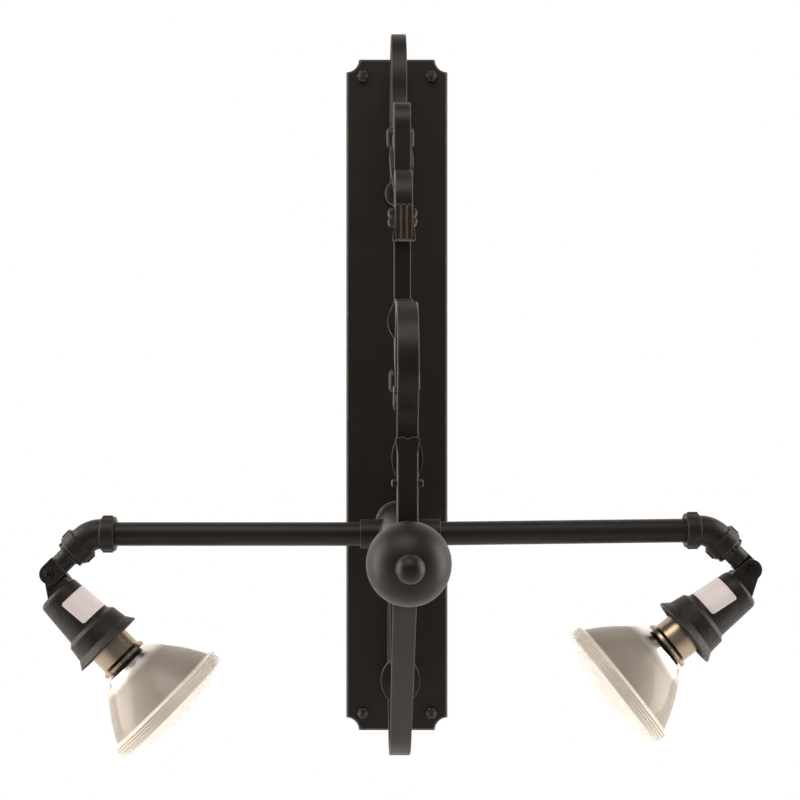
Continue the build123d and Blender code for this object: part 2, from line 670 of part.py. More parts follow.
def front_riser():
    """Short bar from the boom up to a two-lobed end that laps over the front arch."""
    start = (LEG_OUT + 2 * BAR_THICKNESS, FRONT_RISER_TOP - FRONT_RISER_FLARE_LENGTH)
    lower = bar(start, -90, [("run", start[1] - BOOM_RADIUS / 2)], FRONT_RISER_WIDTH)
    size = (FRONT_RISER_WIDTH, FRONT_RISER_FLARE, FRONT_RISER_FLARE_LENGTH)
    outline = fishtail_outline(*size, 2, LOBE_RISE, 1)
    upper = shaped_end(start, 90, outline, FRONT_RISER_FLARE_LENGTH, FRONT_RISER_FLARE)
    return lower + upper - boom_solid()


# ---------------------------------------------------------------- lower brace
BRACE_LOOP_OUT = BAR_THICKNESS / 2 + BRACE_LOOP_RADIUS
BRACE_LOOP_HEIGHT = PLATE_BOTTOM + BRACE_LOOP_ABOVE_PLATE_BOTTOM + BAR_THICKNESS / 2 + BRACE_LOOP_RADIUS


def brace_start():
    """Top of the brace's sloping run and its length, from the boom to the loop."""
    slope = radians(BRACE_SLOPE)
    tangent_out = BRACE_LOOP_OUT + BRACE_LOOP_RADIUS * cos(slope)
    tangent_height = BRACE_LOOP_HEIGHT - BRACE_LOOP_RADIUS * sin(slope)
    run_top = -BOOM_RADIUS - BRACE_TOP_RADIUS * sin(slope)
    length = (run_top - tangent_height) / cos(slope)
    start_out = tangent_out + length * sin(slope) + BRACE_TOP_RADIUS * (1 - cos(slope))
    return start_out, length


def lower_brace():
    start_out, length = brace_start()
    steps = [
        ("run", BOOM_RADIUS / 2),
        ("arc", BRACE_TOP_RADIUS, -BRACE_SLOPE),
        ("run", length),
        ("arc", BRACE_LOOP_RADIUS, BRACE_SLOPE - 180),
        ("arc", BRACE_CURL_RADIUS, -180),
    ]
    start = ((start_out, -BOOM_RADIUS / 2), -90)
    curl_end = poses(*start, steps)[-1][0]
    leaf_height = curl_end[1] - BRACE_LEAF_HEIGHT / 2
    solid = bar(*start, [*steps, ("run", BAR_THICKNESS)], BRACE_WIDTH)
    dish_centre = curl_end[0] - BRACE_LEAF_DISH + BRACE_LEAF_THICKNESS / 2
    size = (BRACE_LEAF_WIDTH, BRACE_LEAF_HEIGHT)
    shell, oval = dished_leaf(dish_centre, leaf_height, size, BRACE_LEAF_DISH, BRACE_LEAF_THICKNESS)
    return drill_for_screws(solid + (shell & extrude(oval, FAR)) - boom_solid())


# ---------------------------------------------------------------- collars and bracket screws
def collar(run_pose, distance, bars, side, wall, length, beads, rounding, width=BAR_WIDTH):
    """Band round a stack of bars that lie against a straight run, made of one or two rounded beads."""
    point, heading = step_pose(*run_pose, ("run", distance))
    middle = beside(point, heading, (bars - 1) * BAR_THICKNESS / 2)
    band_plane = Plane(
        origin=(0, out(middle[0]), middle[1]),
        x_dir=(1, 0, 0),
        z_dir=(0, -cos(radians(heading)), sin(radians(heading))),
    )
    stack = bars * BAR_THICKNESS
    bead = Box(width + 2 * side, stack + 2 * wall, length)
    bead = fillet(bead.edges(), rounding)
    band = Box(width + side, stack + wall, beads * length / 2)
    for n in range(beads):
        band += Pos(0, 0, (n - (beads - 1) / 2) * length) * bead
    band -= Box(width, stack, FAR)
    return band_plane * band


def bracket_collars():
    size = (COLLAR_SIDE, COLLAR_WALL, COLLAR_BEAD, 2, COLLAR_ROUND)
    slim = (SLIM_COLLAR_SIDE, COLLAR_WALL, COLLAR_BEAD, 2, SLIM_COLLAR_ROUND)
    return [
        collar(SHOULDER_POSE, COLLAR_BEAD, 2, *size),
        collar(WAIST_POSE, MIDDLE_CROOK_START - MIDDLE_CROOK_FOOT + COLLAR_BEAD, 2, *size),
        collar(SWEEP_POSE, LOWER_CROOK_START - COLLAR_BEAD, 2, *size),
        collar(SWEEP_POSE, FRONT_ARCH_START - FRONT_ARCH_FOOT / 2, 2, *slim, FRONT_ARCH_WIDTH),
        leg_tie(),
    ]


def leg_tie():
    """Thin tie round the main bar's leg and the front arch, its front hidden by the riser."""
    leg_top = LEG_POSE[0]
    size = (TIE_SIDE, TIE_WALL, TIE_LENGTH, 1, TIE_ROUND)
    return collar((leg_top, -90), leg_top[1] - TIE_HEIGHT, 2, *size, FRONT_ARCH_WIDTH) - front_riser()


def bracket_screw_heights():
    """Heights at which the bracket lies on the plate: the crest's foot twice, and the lower loop."""
    foot = MAIN_START[0][1]
    return [foot + CREST_FOOT * 0.2, foot + CREST_FOOT * 0.8, BRACE_LOOP_HEIGHT]


def bracket_screws():
    """Pan-head screws from inside the pan into the bracket's bars."""
    screws = []
    for z in bracket_screw_heights():
        shank = extrude(Circle(BRACKET_SCREW_RADIUS), PLATE_FRONT_SHEET + BRACKET_SCREW_BITE)
        head = extrude(Circle(BRACKET_SCREW_HEAD_RADIUS), -BRACKET_SCREW_HEAD_HEIGHT)
        head = fillet(head.faces().sort_by(Axis.Z)[0].edges(), BRACKET_SCREW_HEAD_HEIGHT / 3)
        screws.append(along_y(shank + head, 0, PLATE_FRONT_SHEET - PLATE_DEPTH, z))
    return screws


def drill_for_screws(solid):
    """Threaded holes for the bracket screws."""
    for z in bracket_screw_heights():
        solid -= along_y(extrude(Circle(BRACKET_SCREW_RADIUS), BRACKET_SCREW_BITE), 0, out(0), z)
    return solid


# ---------------------------------------------------------------- left arm (the right one is turned from it)
def left_of(shape, x):
    """Turns a shape built along +Z so that its +Z points to -X, and places it on the arm's axis."""
    return Pos(x, ARM_Y, 0) * Rot(0, -90, 0) * shape


def arm_collar():
    sleeve = extrude(Circle(COLLAR_PIPE_RADIUS) - Circle(PIPE_RADIUS + PIPE_CLEARANCE), COLLAR_PIPE_END)
    return left_of(sleeve, 0) - boom_solid()


def arm_pipe():
    length = ELBOW_MOUTH - PIPE_INNER_END + ELBOW_THREAD_DEPTH
    return left_of(extrude(Circle(PIPE_RADIUS) - Circle(PIPE_RADIUS - PIPE_WALL), length), -PIPE_INNER_END)


def elbow_path():
    tangent = ELBOW_CENTRE_TO_END - ELBOW_BEND_RADIUS * (1 - cos(radians(ELBOW_TURN))) / sin(radians(ELBOW_TURN))
    return ("run", tangent), ("arc", ELBOW_BEND_RADIUS, ELBOW_TURN), ("run", tangent)


# Arm view plane: local X runs left from the boom's axis, local Y runs down
ARM_VIEW = Plane(origin=(0, ARM_Y, 0), x_dir=(-1, 0, 0), z_dir=(0, -1, 0))
OUTLET = poses((ELBOW_MOUTH, 0), 0, elbow_path())[-1]
PIVOT = step_pose(*OUTLET, ("run", STEM_LENGTH))[0]
OUTLET_DIRECTION = (-cos(radians(ELBOW_TURN)), 0, -sin(radians(ELBOW_TURN)))


def outlet_plane(distance):
    """Plane across the elbow's outlet axis, this far beyond its mouth, with +Z pointing away from the elbow."""
    x, down = step_pose(*OUTLET, ("run", distance))[0]
    return Plane(origin=(-x, ARM_Y, -down), x_dir=(0, 1, 0), z_dir=OUTLET_DIRECTION)


def elbow_sweep(radius):
    edges, point, heading = [], (ELBOW_MOUTH, 0), 0
    for step in elbow_path():
        middle = step_pose(point, heading, partial(step, 0.5))[0]
        end = step_pose(point, heading, step)
        edges.append(Line(point, end[0]) if step[0] == "run" else ThreePointArc(point, middle, end[0]))
        point, heading = end
    path = ARM_VIEW * Wire(edges)
    section = Plane(origin=(-ELBOW_MOUTH, ARM_Y, 0), x_dir=(0, 1, 0), z_dir=(-1, 0, 0)) * Circle(radius)
    return sweep(section, path)


def elbow():
    mouth_plane = Plane(origin=(-ELBOW_MOUTH, ARM_Y, 0), x_dir=(0, 1, 0), z_dir=(-1, 0, 0))
    band = extrude(Circle(ELBOW_BAND_RADIUS), ELBOW_BAND_LENGTH)
    band = fillet(band.edges(), ELBOW_RIB_RISE)
    rib = Pos(0, 0, ELBOW_BAND_LENGTH * 0.55) * Box(
        ELBOW_RIB_WIDTH, 2 * (ELBOW_BAND_RADIUS + ELBOW_RIB_RISE), ELBOW_BAND_LENGTH * 0.7
    )
    hub = band + fillet(rib.edges().filter_by(Axis.Z), ELBOW_RIB_RISE)
    body = elbow_sweep(ELBOW_BODY_RADIUS) + mouth_plane * hub
    body += outlet_plane(0) * (Rot(180, 0, 0) * hub)
    body -= elbow_sweep(ELBOW_PASSAGE_RADIUS)
    bore = extrude(Circle(PIPE_RADIUS + PIPE_CLEARANCE), ELBOW_THREAD_DEPTH)
    body -= mouth_plane * bore
    body -= outlet_plane(0) * (Rot(180, 0, 0) * bore)
    return body


def stem_plane():
    """At the pivot, with +Z pointing back up the stem and +X along the depth, towards the wall."""
    base = outlet_plane(STEM_LENGTH)
    return Plane(origin=base.origin, x_dir=(0, 1, 0), z_dir=[-v for v in OUTLET_DIRECTION])


def half_ear(depth_start, depth_end, radius, top):
    """Ear with a round end at the pivot, between two depths along the pivot's axis (local X)."""
    side_view = Plane(origin=(depth_start, 0, 0), x_dir=(0, 1, 0), z_dir=(1, 0, 0))
    profile = Circle(radius) + Pos(0, top / 2) * Rectangle(2 * radius, top)
    return extrude(side_view * profile, depth_end - depth_start)


def swivel_stem():
    """Threaded stem with the front half of the knuckle's half lap (local X points to the wall)."""
    shank = Pos(0, 0, STEM_SHOULDER) * extrude(Circle(STEM_RADIUS), STEM_LENGTH - STEM_SHOULDER - LOCKNUT_GAP)
    thread = Pos(0, 0, STEM_LENGTH - LOCKNUT_GAP - LOCKNUT_THICKNESS) * extrude(
        Circle(STEM_THREAD_RADIUS), LOCKNUT_GAP + LOCKNUT_THICKNESS + STEM_THREAD_LENGTH
    )
    ear = half_ear(-EAR_THICKNESS - EAR_GAP, -EAR_GAP, STEM_RADIUS, STEM_SHOULDER)
    stem = shank + thread + ear
    stem -= Pos(0, 0, STEM_SHOULDER + STEM_BORE_RADIUS) * extrude(Circle(STEM_BORE_RADIUS), FAR)
    front = Plane(origin=(-EAR_THICKNESS - EAR_GAP, 0, 0), x_dir=(0, 1, 0), z_dir=(-1, 0, 0))
    stem -= extrude(front * Circle(KNUCKLE_SCREW_RADIUS), -EAR_THICKNESS)
    stem -= extrude(front * Circle(KNUCKLE_RECESS_RADIUS), -KNUCKLE_RECESS_DEPTH)
    return stem_plane() * stem


def locknut():
    ring = extrude(Circle(LOCKNUT_RADIUS) - Circle(STEM_THREAD_RADIUS), LOCKNUT_THICKNESS)
    for n in range(LOCKNUT_NOTCHES):
        notch = Pos(LOCKNUT_RADIUS, 0, 0) * Box(LOCKNUT_NOTCH_WIDTH, LOCKNUT_NOTCH_WIDTH, FAR)
        ring -= Rot(0, 0, n * 360 / LOCKNUT_NOTCHES) * notch
    return stem_plane() * (Pos(0, 0, STEM_LENGTH - LOCKNUT_GAP - LOCKNUT_THICKNESS) * ring)


def knuckle_screw():
    """Cross-head screw through both ears, its head in the front recess."""
    head_seat = EAR_THICKNESS + EAR_GAP - KNUCKLE_RECESS_DEPTH
    reach = head_seat + EAR_GAP + EAR_THICKNESS + LOCKNUT_GAP + KNUCKLE_NUT_HEIGHT
    screw = extrude(Circle(KNUCKLE_SCREW_RADIUS), -reach)
    head = extrude(Circle(KNUCKLE_HEAD_RADIUS), KNUCKLE_HEAD_HEIGHT)
    head = fillet(head.faces().sort_by(Axis.Z)[-1].edges(), KNUCKLE_HEAD_HEIGHT / 2)
    for turn in (0, 90):
        slot = Box(KNUCKLE_DRIVE_LENGTH, KNUCKLE_DRIVE_WIDTH, 2 * KNUCKLE_DRIVE_DEPTH)
        head -= Pos(0, 0, KNUCKLE_HEAD_HEIGHT) * Rot(0, 0, turn) * slot
    front = Plane(origin=(-head_seat, 0, 0), x_dir=(0, 1, 0), z_dir=(-1, 0, 0))
    return stem_plane() * (front * (screw + head))


def knuckle_nut():
    nut = extrude(RegularPolygon(KNUCKLE_NUT_FLATS / 2, 6, major_radius=False), KNUCKLE_NUT_HEIGHT)
    nut -= Cylinder(KNUCKLE_SCREW_RADIUS, FAR)
    back = Plane(origin=(EAR_GAP + EAR_THICKNESS + LOCKNUT_GAP, 0, 0), x_dir=(0, 1, 0), z_dir=(1, 0, 0))
    return stem_plane() * (back * nut)


# ---------------------------------------------------------------- left lamp head
def head_plane():
    """At the pivot, with +Z along the lamp's axis, +X towards the wall and +Y towards the stem."""
    drop = radians(LEFT_LAMP_DROP)
    return Plane(origin=(-PIVOT[0], ARM_Y, -PIVOT[1]), x_dir=(0, 1, 0), z_dir=(cos(drop), 0, -sin(drop)))


def on_lamp_axis(shape):
    return head_plane() * (Pos(0, -LAMP_OFFSET, 0) * shape)


def turned(points):
    """Solid of revolution about the lamp's axis from (radius, height) points joined by straight lines."""
    return revolve(Plane.XZ * make_face(Polyline(*points, close=True)), Axis.Z)


def disc(radius, start, end):
    return Pos(0, 0, start) * extrude(Circle(radius), end - start)


def ring(outer, inner, start, end):
    return Pos(0, 0, start) * extrude(Circle(outer) - Circle(inner), end - start)


def slab_across(depth_start, depth_end, outline):
    """Extrudes an outline in Y and Z between two depths along the knuckle's axis (local X)."""
    side_view = Plane(origin=(depth_start, 0, 0), x_dir=(0, 1, 0), z_dir=(1, 0, 0))
    return extrude(side_view * outline, depth_end - depth_start)


def holder_shell():
    """Outside of the cast barrel: tapered, with a step and a flared mouth."""
    shell = turned(
        [
            (0, HOLDER_BACK),
            (HOLDER_BACK_RADIUS, HOLDER_BACK),
            (HOLDER_BARREL_RADIUS, HOLDER_BARREL_END),
            (HOLDER_STEP_RADIUS, HOLDER_STEP),
            (HOLDER_FLARE_RADIUS, HOLDER_FLARE_START),
            (HOLDER_LIP_RADIUS, HOLDER_LIP - HOLDER_LIP_EDGE),
            (HOLDER_LIP_RADIUS, HOLDER_LIP),
            (0, HOLDER_LIP),
        ]
    )
    back_rim = shell.edges().filter_by(GeomType.CIRCLE).sort_by(Axis.Z)[0]
    return Pos(0, -LAMP_OFFSET, 0) * fillet(back_rim, HOLDER_BACK_ROUND)


def holder_cavity():
    mouth = HOLDER_LIP_RADIUS - HOLDER_WALL
    outline = [
        (0, SOCKET_BACK),
        (SOCKET_RADIUS, SOCKET_BACK),
        (SOCKET_RADIUS, SOCKET_TOP),
        (HOLDER_STEP_RADIUS - HOLDER_WALL, SOCKET_TOP),
        (HOLDER_FLARE_RADIUS - HOLDER_WALL, HOLDER_FLARE_START),
        (mouth, HOLDER_LIP),
        (mouth, FAR),
        (0, FAR),
    ]
    return Pos(0, -LAMP_OFFSET, 0) * turned(outline)


def lampholder():
    """Cast lampholder with the rear half of the knuckle's half lap."""
    arm_side = HOLDER_BACK_RADIUS - LAMP_OFFSET - HOLDER_BACK_ROUND / 2
    far_side = -HOLDER_BACK_RADIUS - LAMP_OFFSET + HOLDER_BACK_ROUND
    seat = HOLDER_BACK + HOLDER_BACK_ROUND
    ear_sides = [(STEM_RADIUS, 0), (arm_side, seat), (far_side, seat), (-STEM_RADIUS, 0)]
    ear = Circle(STEM_RADIUS) + make_face(Polyline(*ear_sides, close=True))
    neck_sides = [(arm_side, NECK_START), (arm_side, seat), (far_side, seat), (far_side / 2, NECK_START)]
    neck = make_face(Polyline(*neck_sides, close=True))
    ear_depth = EAR_GAP + EAR_THICKNESS
    body = holder_shell() + slab_across(EAR_GAP, ear_depth, ear) + slab_across(-ear_depth, ear_depth, neck)
    body -= holder_cavity()
    body -= slab_across(0, 2 * ear_depth, Circle(KNUCKLE_SCREW_RADIUS + KNUCKLE_SCREW_CLEARANCE))
    return head_plane() * body


def socket_insulator():
    """Moulded insulator that fills the barrel and holds the screw shell and the centre contact."""
    floor = disc(SOCKET_RADIUS, SOCKET_BACK, SOCKET_FLOOR)
    return on_lamp_axis(floor + ring(SOCKET_RADIUS, SHELL_OUTER_RADIUS, SOCKET_FLOOR, SOCKET_TOP))


def screw_shell():
    return on_lamp_axis(ring(SHELL_OUTER_RADIUS, SHELL_OUTER_RADIUS - SHELL_WALL, SHELL_START, SOCKET_TOP))


def centre_contact():
    """Brass contact that stands on the socket's floor below the bulb's tip."""
    post = disc(CONTACT_RADIUS, SOCKET_FLOOR, SOCKET_FLOOR + CONTACT_HEIGHT)
    return on_lamp_axis(chamfer(post.faces().sort_by(Axis.Z)[-1].edges(), CONTACT_CHAMFER))


def mouth_gasket():
    """Rubber ring that stands on the socket's step, round the bulb's skirt."""
    outer = HOLDER_STEP_RADIUS - HOLDER_WALL
    return on_lamp_axis(ring(outer, GASKET_INNER_RADIUS, SOCKET_TOP, SOCKET_TOP + GASKET_THICKNESS))


def barrel_radius(height):
    share = (height - HOLDER_BACK) / (HOLDER_BARREL_END - HOLDER_BACK)
    return HOLDER_BACK_RADIUS + share * (HOLDER_BARREL_RADIUS - HOLDER_BACK_RADIUS)


def blank_label(turn):
    """Unprinted label on the barrel, turned this far from straight behind towards the stem."""
    low, high = LABEL_CENTRE - LABEL_LENGTH, LABEL_CENTRE + LABEL_LENGTH
    skin = turned(
        [
            (barrel_radius(low), low),
            (barrel_radius(low) + LABEL_THICKNESS, low),
            (barrel_radius(high) + LABEL_THICKNESS, high),
            (barrel_radius(high), high),
        ]
    )
    window = RectangleRounded(LABEL_WIDTH, LABEL_LENGTH, LABEL_CORNER)
    prism = extrude(Plane(origin=(0, 0, LABEL_CENTRE), x_dir=(0, 1, 0), z_dir=(1, 0, 0)) * window, FAR)
    return on_lamp_axis(skin & (Rot(0, 0, turn) * prism))


def left_label():
    return blank_label(180 - LABEL_TURN)


def right_label():
    return blank_label(LABEL_TURN)


# ---------------------------------------------------------------- left bulb
def bulb_tip():
    return on_lamp_axis(disc(BULB_TIP_RADIUS, BULB_TIP, BULB_TIP + BULB_TIP_THICKNESS))


def bulb_insulator():
    """Glass cone between the bulb's tip contact and its screw shell."""
    inner = BULB_BASE_RADIUS - BULB_BASE_WALL
    outline = [
        (0, BULB_TIP + BULB_TIP_THICKNESS),
        (BULB_CONE_RADIUS, BULB_TIP + BULB_TIP_THICKNESS),
        (inner, BULB_BASE_START),
        (inner, BULB_BASE_START + BULB_INSULATOR_LAP),
        (0, BULB_BASE_START + BULB_INSULATOR_LAP),
    ]
    return on_lamp_axis(turned(outline))


def bulb_base():
    """Screw shell, with a rounded groove for each turn of its rolled thread."""
    shell = ring(BULB_BASE_RADIUS, BULB_BASE_RADIUS - BULB_BASE_WALL, BULB_BASE_START, BULB_BASE_END)
    groove = Torus(BULB_BASE_RADIUS + BULB_THREAD_RADIUS - BULB_THREAD_DEPTH, BULB_THREAD_RADIUS)
    for n in range(BULB_THREAD_TURNS):
        shell -= Pos(0, 0, BULB_BASE_START + BULB_THREAD_START + n * BULB_THREAD_PITCH) * groove
    return on_lamp_axis(shell)


# Places on the skirt that the glass follows
SKIRT_INSIDE = BULB_SKIRT_RADIUS - BULB_SKIRT_WALL
CRIMP_INSIDE = BULB_CRIMP_RADIUS - BULB_SKIRT_WALL


def bulb_skirt():
    """Pressed metal skirt: a cone from the screw shell, a drum, and a row of tabs crimped over the glass."""
    skirt = turned(
        [
            (BULB_BASE_RADIUS - BULB_BASE_WALL, BULB_BASE_END),
            (BULB_BASE_RADIUS, BULB_BASE_END),
            (BULB_SKIRT_RADIUS, BULB_SKIRT_CONE_END),
            (BULB_SKIRT_RADIUS, BULB_SKIRT_END),
            (BULB_CRIMP_RADIUS, BULB_CRIMP_KNEE),
            (BULB_CRIMP_RADIUS, BULB_CRIMP_END),
            (CRIMP_INSIDE, BULB_CRIMP_END),
            (CRIMP_INSIDE, BULB_CRIMP_KNEE),
            (SKIRT_INSIDE, BULB_SKIRT_END),
            (SKIRT_INSIDE, BULB_SKIRT_CONE_END),
        ]
    )
    slot = Pos(BULB_CRIMP_RADIUS, 0, BULB_CRIMP_END) * Box(
        BULB_CRIMP_RADIUS, BULB_CRIMP_SLOT, 2 * (BULB_CRIMP_END - BULB_CRIMP_KNEE)
    )
    for n in range(BULB_CRIMP_TABS):
        skirt -= Rot(0, 0, n * 360 / BULB_CRIMP_TABS) * slot
    return on_lamp_axis(skirt)


def bulb_reflector():
    """Pressed glass reflector with a bowed bowl, a straight neck inside the skirt and a thick rim."""
    wall = BULB_GLASS_WALL
    neck = [
        (SKIRT_INSIDE, BULB_SKIRT_CONE_END),
        (SKIRT_INSIDE, BULB_SKIRT_END),
        (CRIMP_INSIDE, BULB_CRIMP_KNEE),
        (CRIMP_INSIDE, BULB_CRIMP_END),
        (BULB_SHOULDER_RADIUS, BULB_SHOULDER),
        (BULB_BOWL_STEP_RADIUS, BULB_BOWL_STEP),
    ]
    bowl = [
        (BULB_BOWL_STEP_RADIUS, BULB_BOWL_STEP),
        (BULB_BOWL_MIDDLE_RADIUS, BULB_BOWL_MIDDLE),
        (BULB_BOWL_END_RADIUS, BULB_BOWL_END),
    ]
    rim = [
        (BULB_BOWL_END_RADIUS, BULB_BOWL_END),
        (BULB_RIM_RADIUS, BULB_BOWL_END + BULB_RIM_BEVEL),
        (BULB_RIM_RADIUS, BULB_RIM_END),
        (BULB_BOWL_END_RADIUS, BULB_RIM_END),
        (BULB_BOWL_END_RADIUS - wall, BULB_BOWL_END),
    ]
    bowl_inside = [(radius - wall, height) for radius, height in bowl]
    neck_inside = [(radius - wall, height) for radius, height in neck]
    outside = [Polyline(*neck), ThreePointArc(*bowl), Polyline(*rim)]
    inside = [ThreePointArc(*bowl_inside), Polyline(*neck_inside), Line(neck_inside[0], neck[0])]
    return on_lamp_axis(revolve(Plane.XZ * make_face([*outside, *inside]), Axis.Z))


def bulb_lens():
    """Domed front glass, sealed to the reflector's rim."""
    rise = LENS_APEX - LENS_EDGE
    radius = (BULB_RIM_RADIUS**2 + rise**2) / (2 * rise)
    dome = Pos(0, 0, LENS_APEX - radius) * (Sphere(radius) - Sphere(radius - LENS_THICKNESS))
    dome &= disc(BULB_RIM_RADIUS, BULB_RIM_END, LENS_APEX)
    return on_lamp_axis(dome + ring(BULB_RIM_RADIUS, BULB_BOWL_END_RADIUS, BULB_RIM_END, LENS_EDGE))


def bulb_capsule():
    """Capsule on two stiff leads, which stand on a disc sealed across the neck."""
    capsule = disc(CAPSULE_RADIUS, CAPSULE_START, CAPSULE_START + CAPSULE_LENGTH - CAPSULE_RADIUS)
    capsule += Pos(0, 0, CAPSULE_START + CAPSULE_LENGTH - CAPSULE_RADIUS) * Sphere(CAPSULE_RADIUS)
    mount_top = CAPSULE_MOUNT_START + CAPSULE_MOUNT_THICKNESS
    capsule += disc(SKIRT_INSIDE - BULB_GLASS_WALL, CAPSULE_MOUNT_START, mount_top)
    for side in (-1, 1):
        capsule += Pos(side * CAPSULE_LEAD_SPACING / 2, 0, 0) * disc(CAPSULE_LEAD_RADIUS, mount_top, CAPSULE_START)
    return on_lamp_axis(capsule)


# ---------------------------------------------------------------- right side and writing
def to_right(shape):
    """Turns a left-hand piece half a turn about the boom's upright, and lifts the arm by its small rise."""
    turned_round = Pos(0, ARM_Y, 0) * Rot(0, 0, 180) * Pos(0, -ARM_Y, 0) * shape
    return Rot(0, -RIGHT_ARM_RISE, 0) * turned_round


def aim_right(shape):
    """Tilts a left-hand head about its knuckle so that the right lamp gets its own drop."""
    tilt = LEFT_LAMP_DROP + RIGHT_ARM_RISE - RIGHT_LAMP_DROP
    pivot = Pos(-PIVOT[0], ARM_Y, -PIVOT[1])
    return pivot * Rot(0, -tilt, 0) * pivot.inverse() * shape


def write(name, shape):
    pieces = shape if isinstance(shape, list) else [shape]
    solids = [solid for piece in pieces for solid in piece.solids()]
    export_step(solids[0] if len(solids) == 1 else Compound(children=solids), f"parts/{name}.step")


CENTRE_PARTS = {
    "back_plate": back_plate,
    "wall_bracket": wall_bracket,
    "wire_bushing": wire_bushing,
    "corner_studs": corner_studs,
    "acorn_nuts": acorn_nuts,
    "boom_tube": boom_tube,
    "boom_cap": boom_cap,
    "finial_ball": finial_ball,
    "finial_stud": finial_stud,
    "finial_knob": finial_knob,
    "main_scroll_bar": main_bar,
    "upper_crook": upper_crook,
    "middle_crook": middle_crook,
    "lower_crook": lower_crook,
    "front_arch": front_arch,
    "front_riser": front_riser,
    "lower_brace": lower_brace,
    "bracket_collars": bracket_collars,
    "bracket_screws": bracket_screws,
}
ARM_PARTS = {
    "arm_collar": arm_collar,
    "arm_pipe": arm_pipe,
    "elbow": elbow,
    "swivel_stem": swivel_stem,
    "locknut": locknut,
    "knuckle_screw": knuckle_screw,
    "knuckle_nut": knuckle_nut,
}
HEAD_PARTS = {
    "lampholder": lampholder,
    "socket_insulator": socket_insulator,
    "screw_shell": screw_shell,
    "centre_contact": centre_contact,
    "mouth_gasket": mouth_gasket,
    "bulb_tip": bulb_tip,
    "bulb_insulator": bulb_insulator,
    "bulb_base": bulb_base,
    "bulb_skirt": bulb_skirt,
    "bulb_reflector": bulb_reflector,
    "bulb_lens": bulb_lens,
    "bulb_capsule": bulb_capsule,
}

os.makedirs("parts", exist_ok=True)
for part_name, make in CENTRE_PARTS.items():
    write(part_name, make())
for part_name, make in ARM_PARTS.items():
    arm_piece = make()
    write(f"left_{part_name}", arm_piece)
    write(f"right_{part_name}", to_right(arm_piece))
for part_name, make in HEAD_PARTS.items():
    head_piece = make()
    write(f"left_{part_name}", head_piece)
    write(f"right_{part_name}", to_right(aim_right(head_piece)))
write("left_blank_label", left_label())
write("right_blank_label", to_right(aim_right(right_label())))
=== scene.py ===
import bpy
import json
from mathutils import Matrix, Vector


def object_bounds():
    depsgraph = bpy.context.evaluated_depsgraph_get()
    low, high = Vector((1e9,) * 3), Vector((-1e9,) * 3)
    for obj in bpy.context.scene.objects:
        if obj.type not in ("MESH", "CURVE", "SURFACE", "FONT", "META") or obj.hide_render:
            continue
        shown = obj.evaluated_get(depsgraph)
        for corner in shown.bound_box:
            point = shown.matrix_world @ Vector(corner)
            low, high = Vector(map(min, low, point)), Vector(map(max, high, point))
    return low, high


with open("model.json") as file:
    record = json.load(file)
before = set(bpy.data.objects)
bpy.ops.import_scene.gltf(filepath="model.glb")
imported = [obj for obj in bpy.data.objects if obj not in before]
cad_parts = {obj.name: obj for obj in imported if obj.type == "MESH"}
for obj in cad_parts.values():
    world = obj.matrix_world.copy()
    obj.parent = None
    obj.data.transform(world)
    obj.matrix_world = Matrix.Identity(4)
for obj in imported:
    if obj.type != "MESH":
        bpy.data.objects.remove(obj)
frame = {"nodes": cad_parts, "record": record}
CAD_BOX = [list(corner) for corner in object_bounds()]

import json
import math

import bpy
from bpy.props import FloatProperty, FloatVectorProperty, PointerProperty
from mathutils import Vector

bl_info = {
    "name": "Pipe Wall Light Finishes",
    "version": (1, 0, 0),
    "blender": (4, 5, 0),
    "location": "3D View > Sidebar > Wall Light",
    "description": "Finishes, lighting and camera for a twin-lamp pipe wall light on a scrolled bracket",
    "category": "Material",
}

# ---------------------------------------------------------------- pieces
SIDES = ("left", "right")
IRONWORK = (
    "back_plate", "acorn_nuts", "boom_tube", "finial_ball", "finial_knob", "main_scroll_bar",
    "upper_crook", "middle_crook", "lower_crook", "front_arch", "front_riser", "lower_brace",
    "bracket_collars",
)
PIPEWORK = ("arm_collar", "arm_pipe")
CASTINGS = ("elbow", "swivel_stem", "locknut")
KNUCKLE_SCREWS = ("knuckle_screw", "knuckle_nut")
ZINC_PIECES = ("wall_bracket", "corner_studs", "bracket_screws", "finial_stud", "boom_cap")
BRASS_PIECES = ("screw_shell", "centre_contact", "bulb_tip")


def both(names):
    """Full names of pieces that each side has one of."""
    return [f"{side}_{name}" for side in SIDES for name in names]


# ---------------------------------------------------------------- node helpers
MIX_SHARE, MIX_FIRST, MIX_SECOND, MIX_RESULT = "0", "6", "7", 2
EDGE_SAMPLES = 4
EDGE_GAIN = 8.0


def linear(colour):
    """Linear values of a colour given as a screen shows it."""
    return tuple(((c + 0.055) / 1.055) ** 2.4 if c > 0.04045 else c / 12.92 for c in colour)


def opaque(colour):
    return (*linear(colour), 1.0)


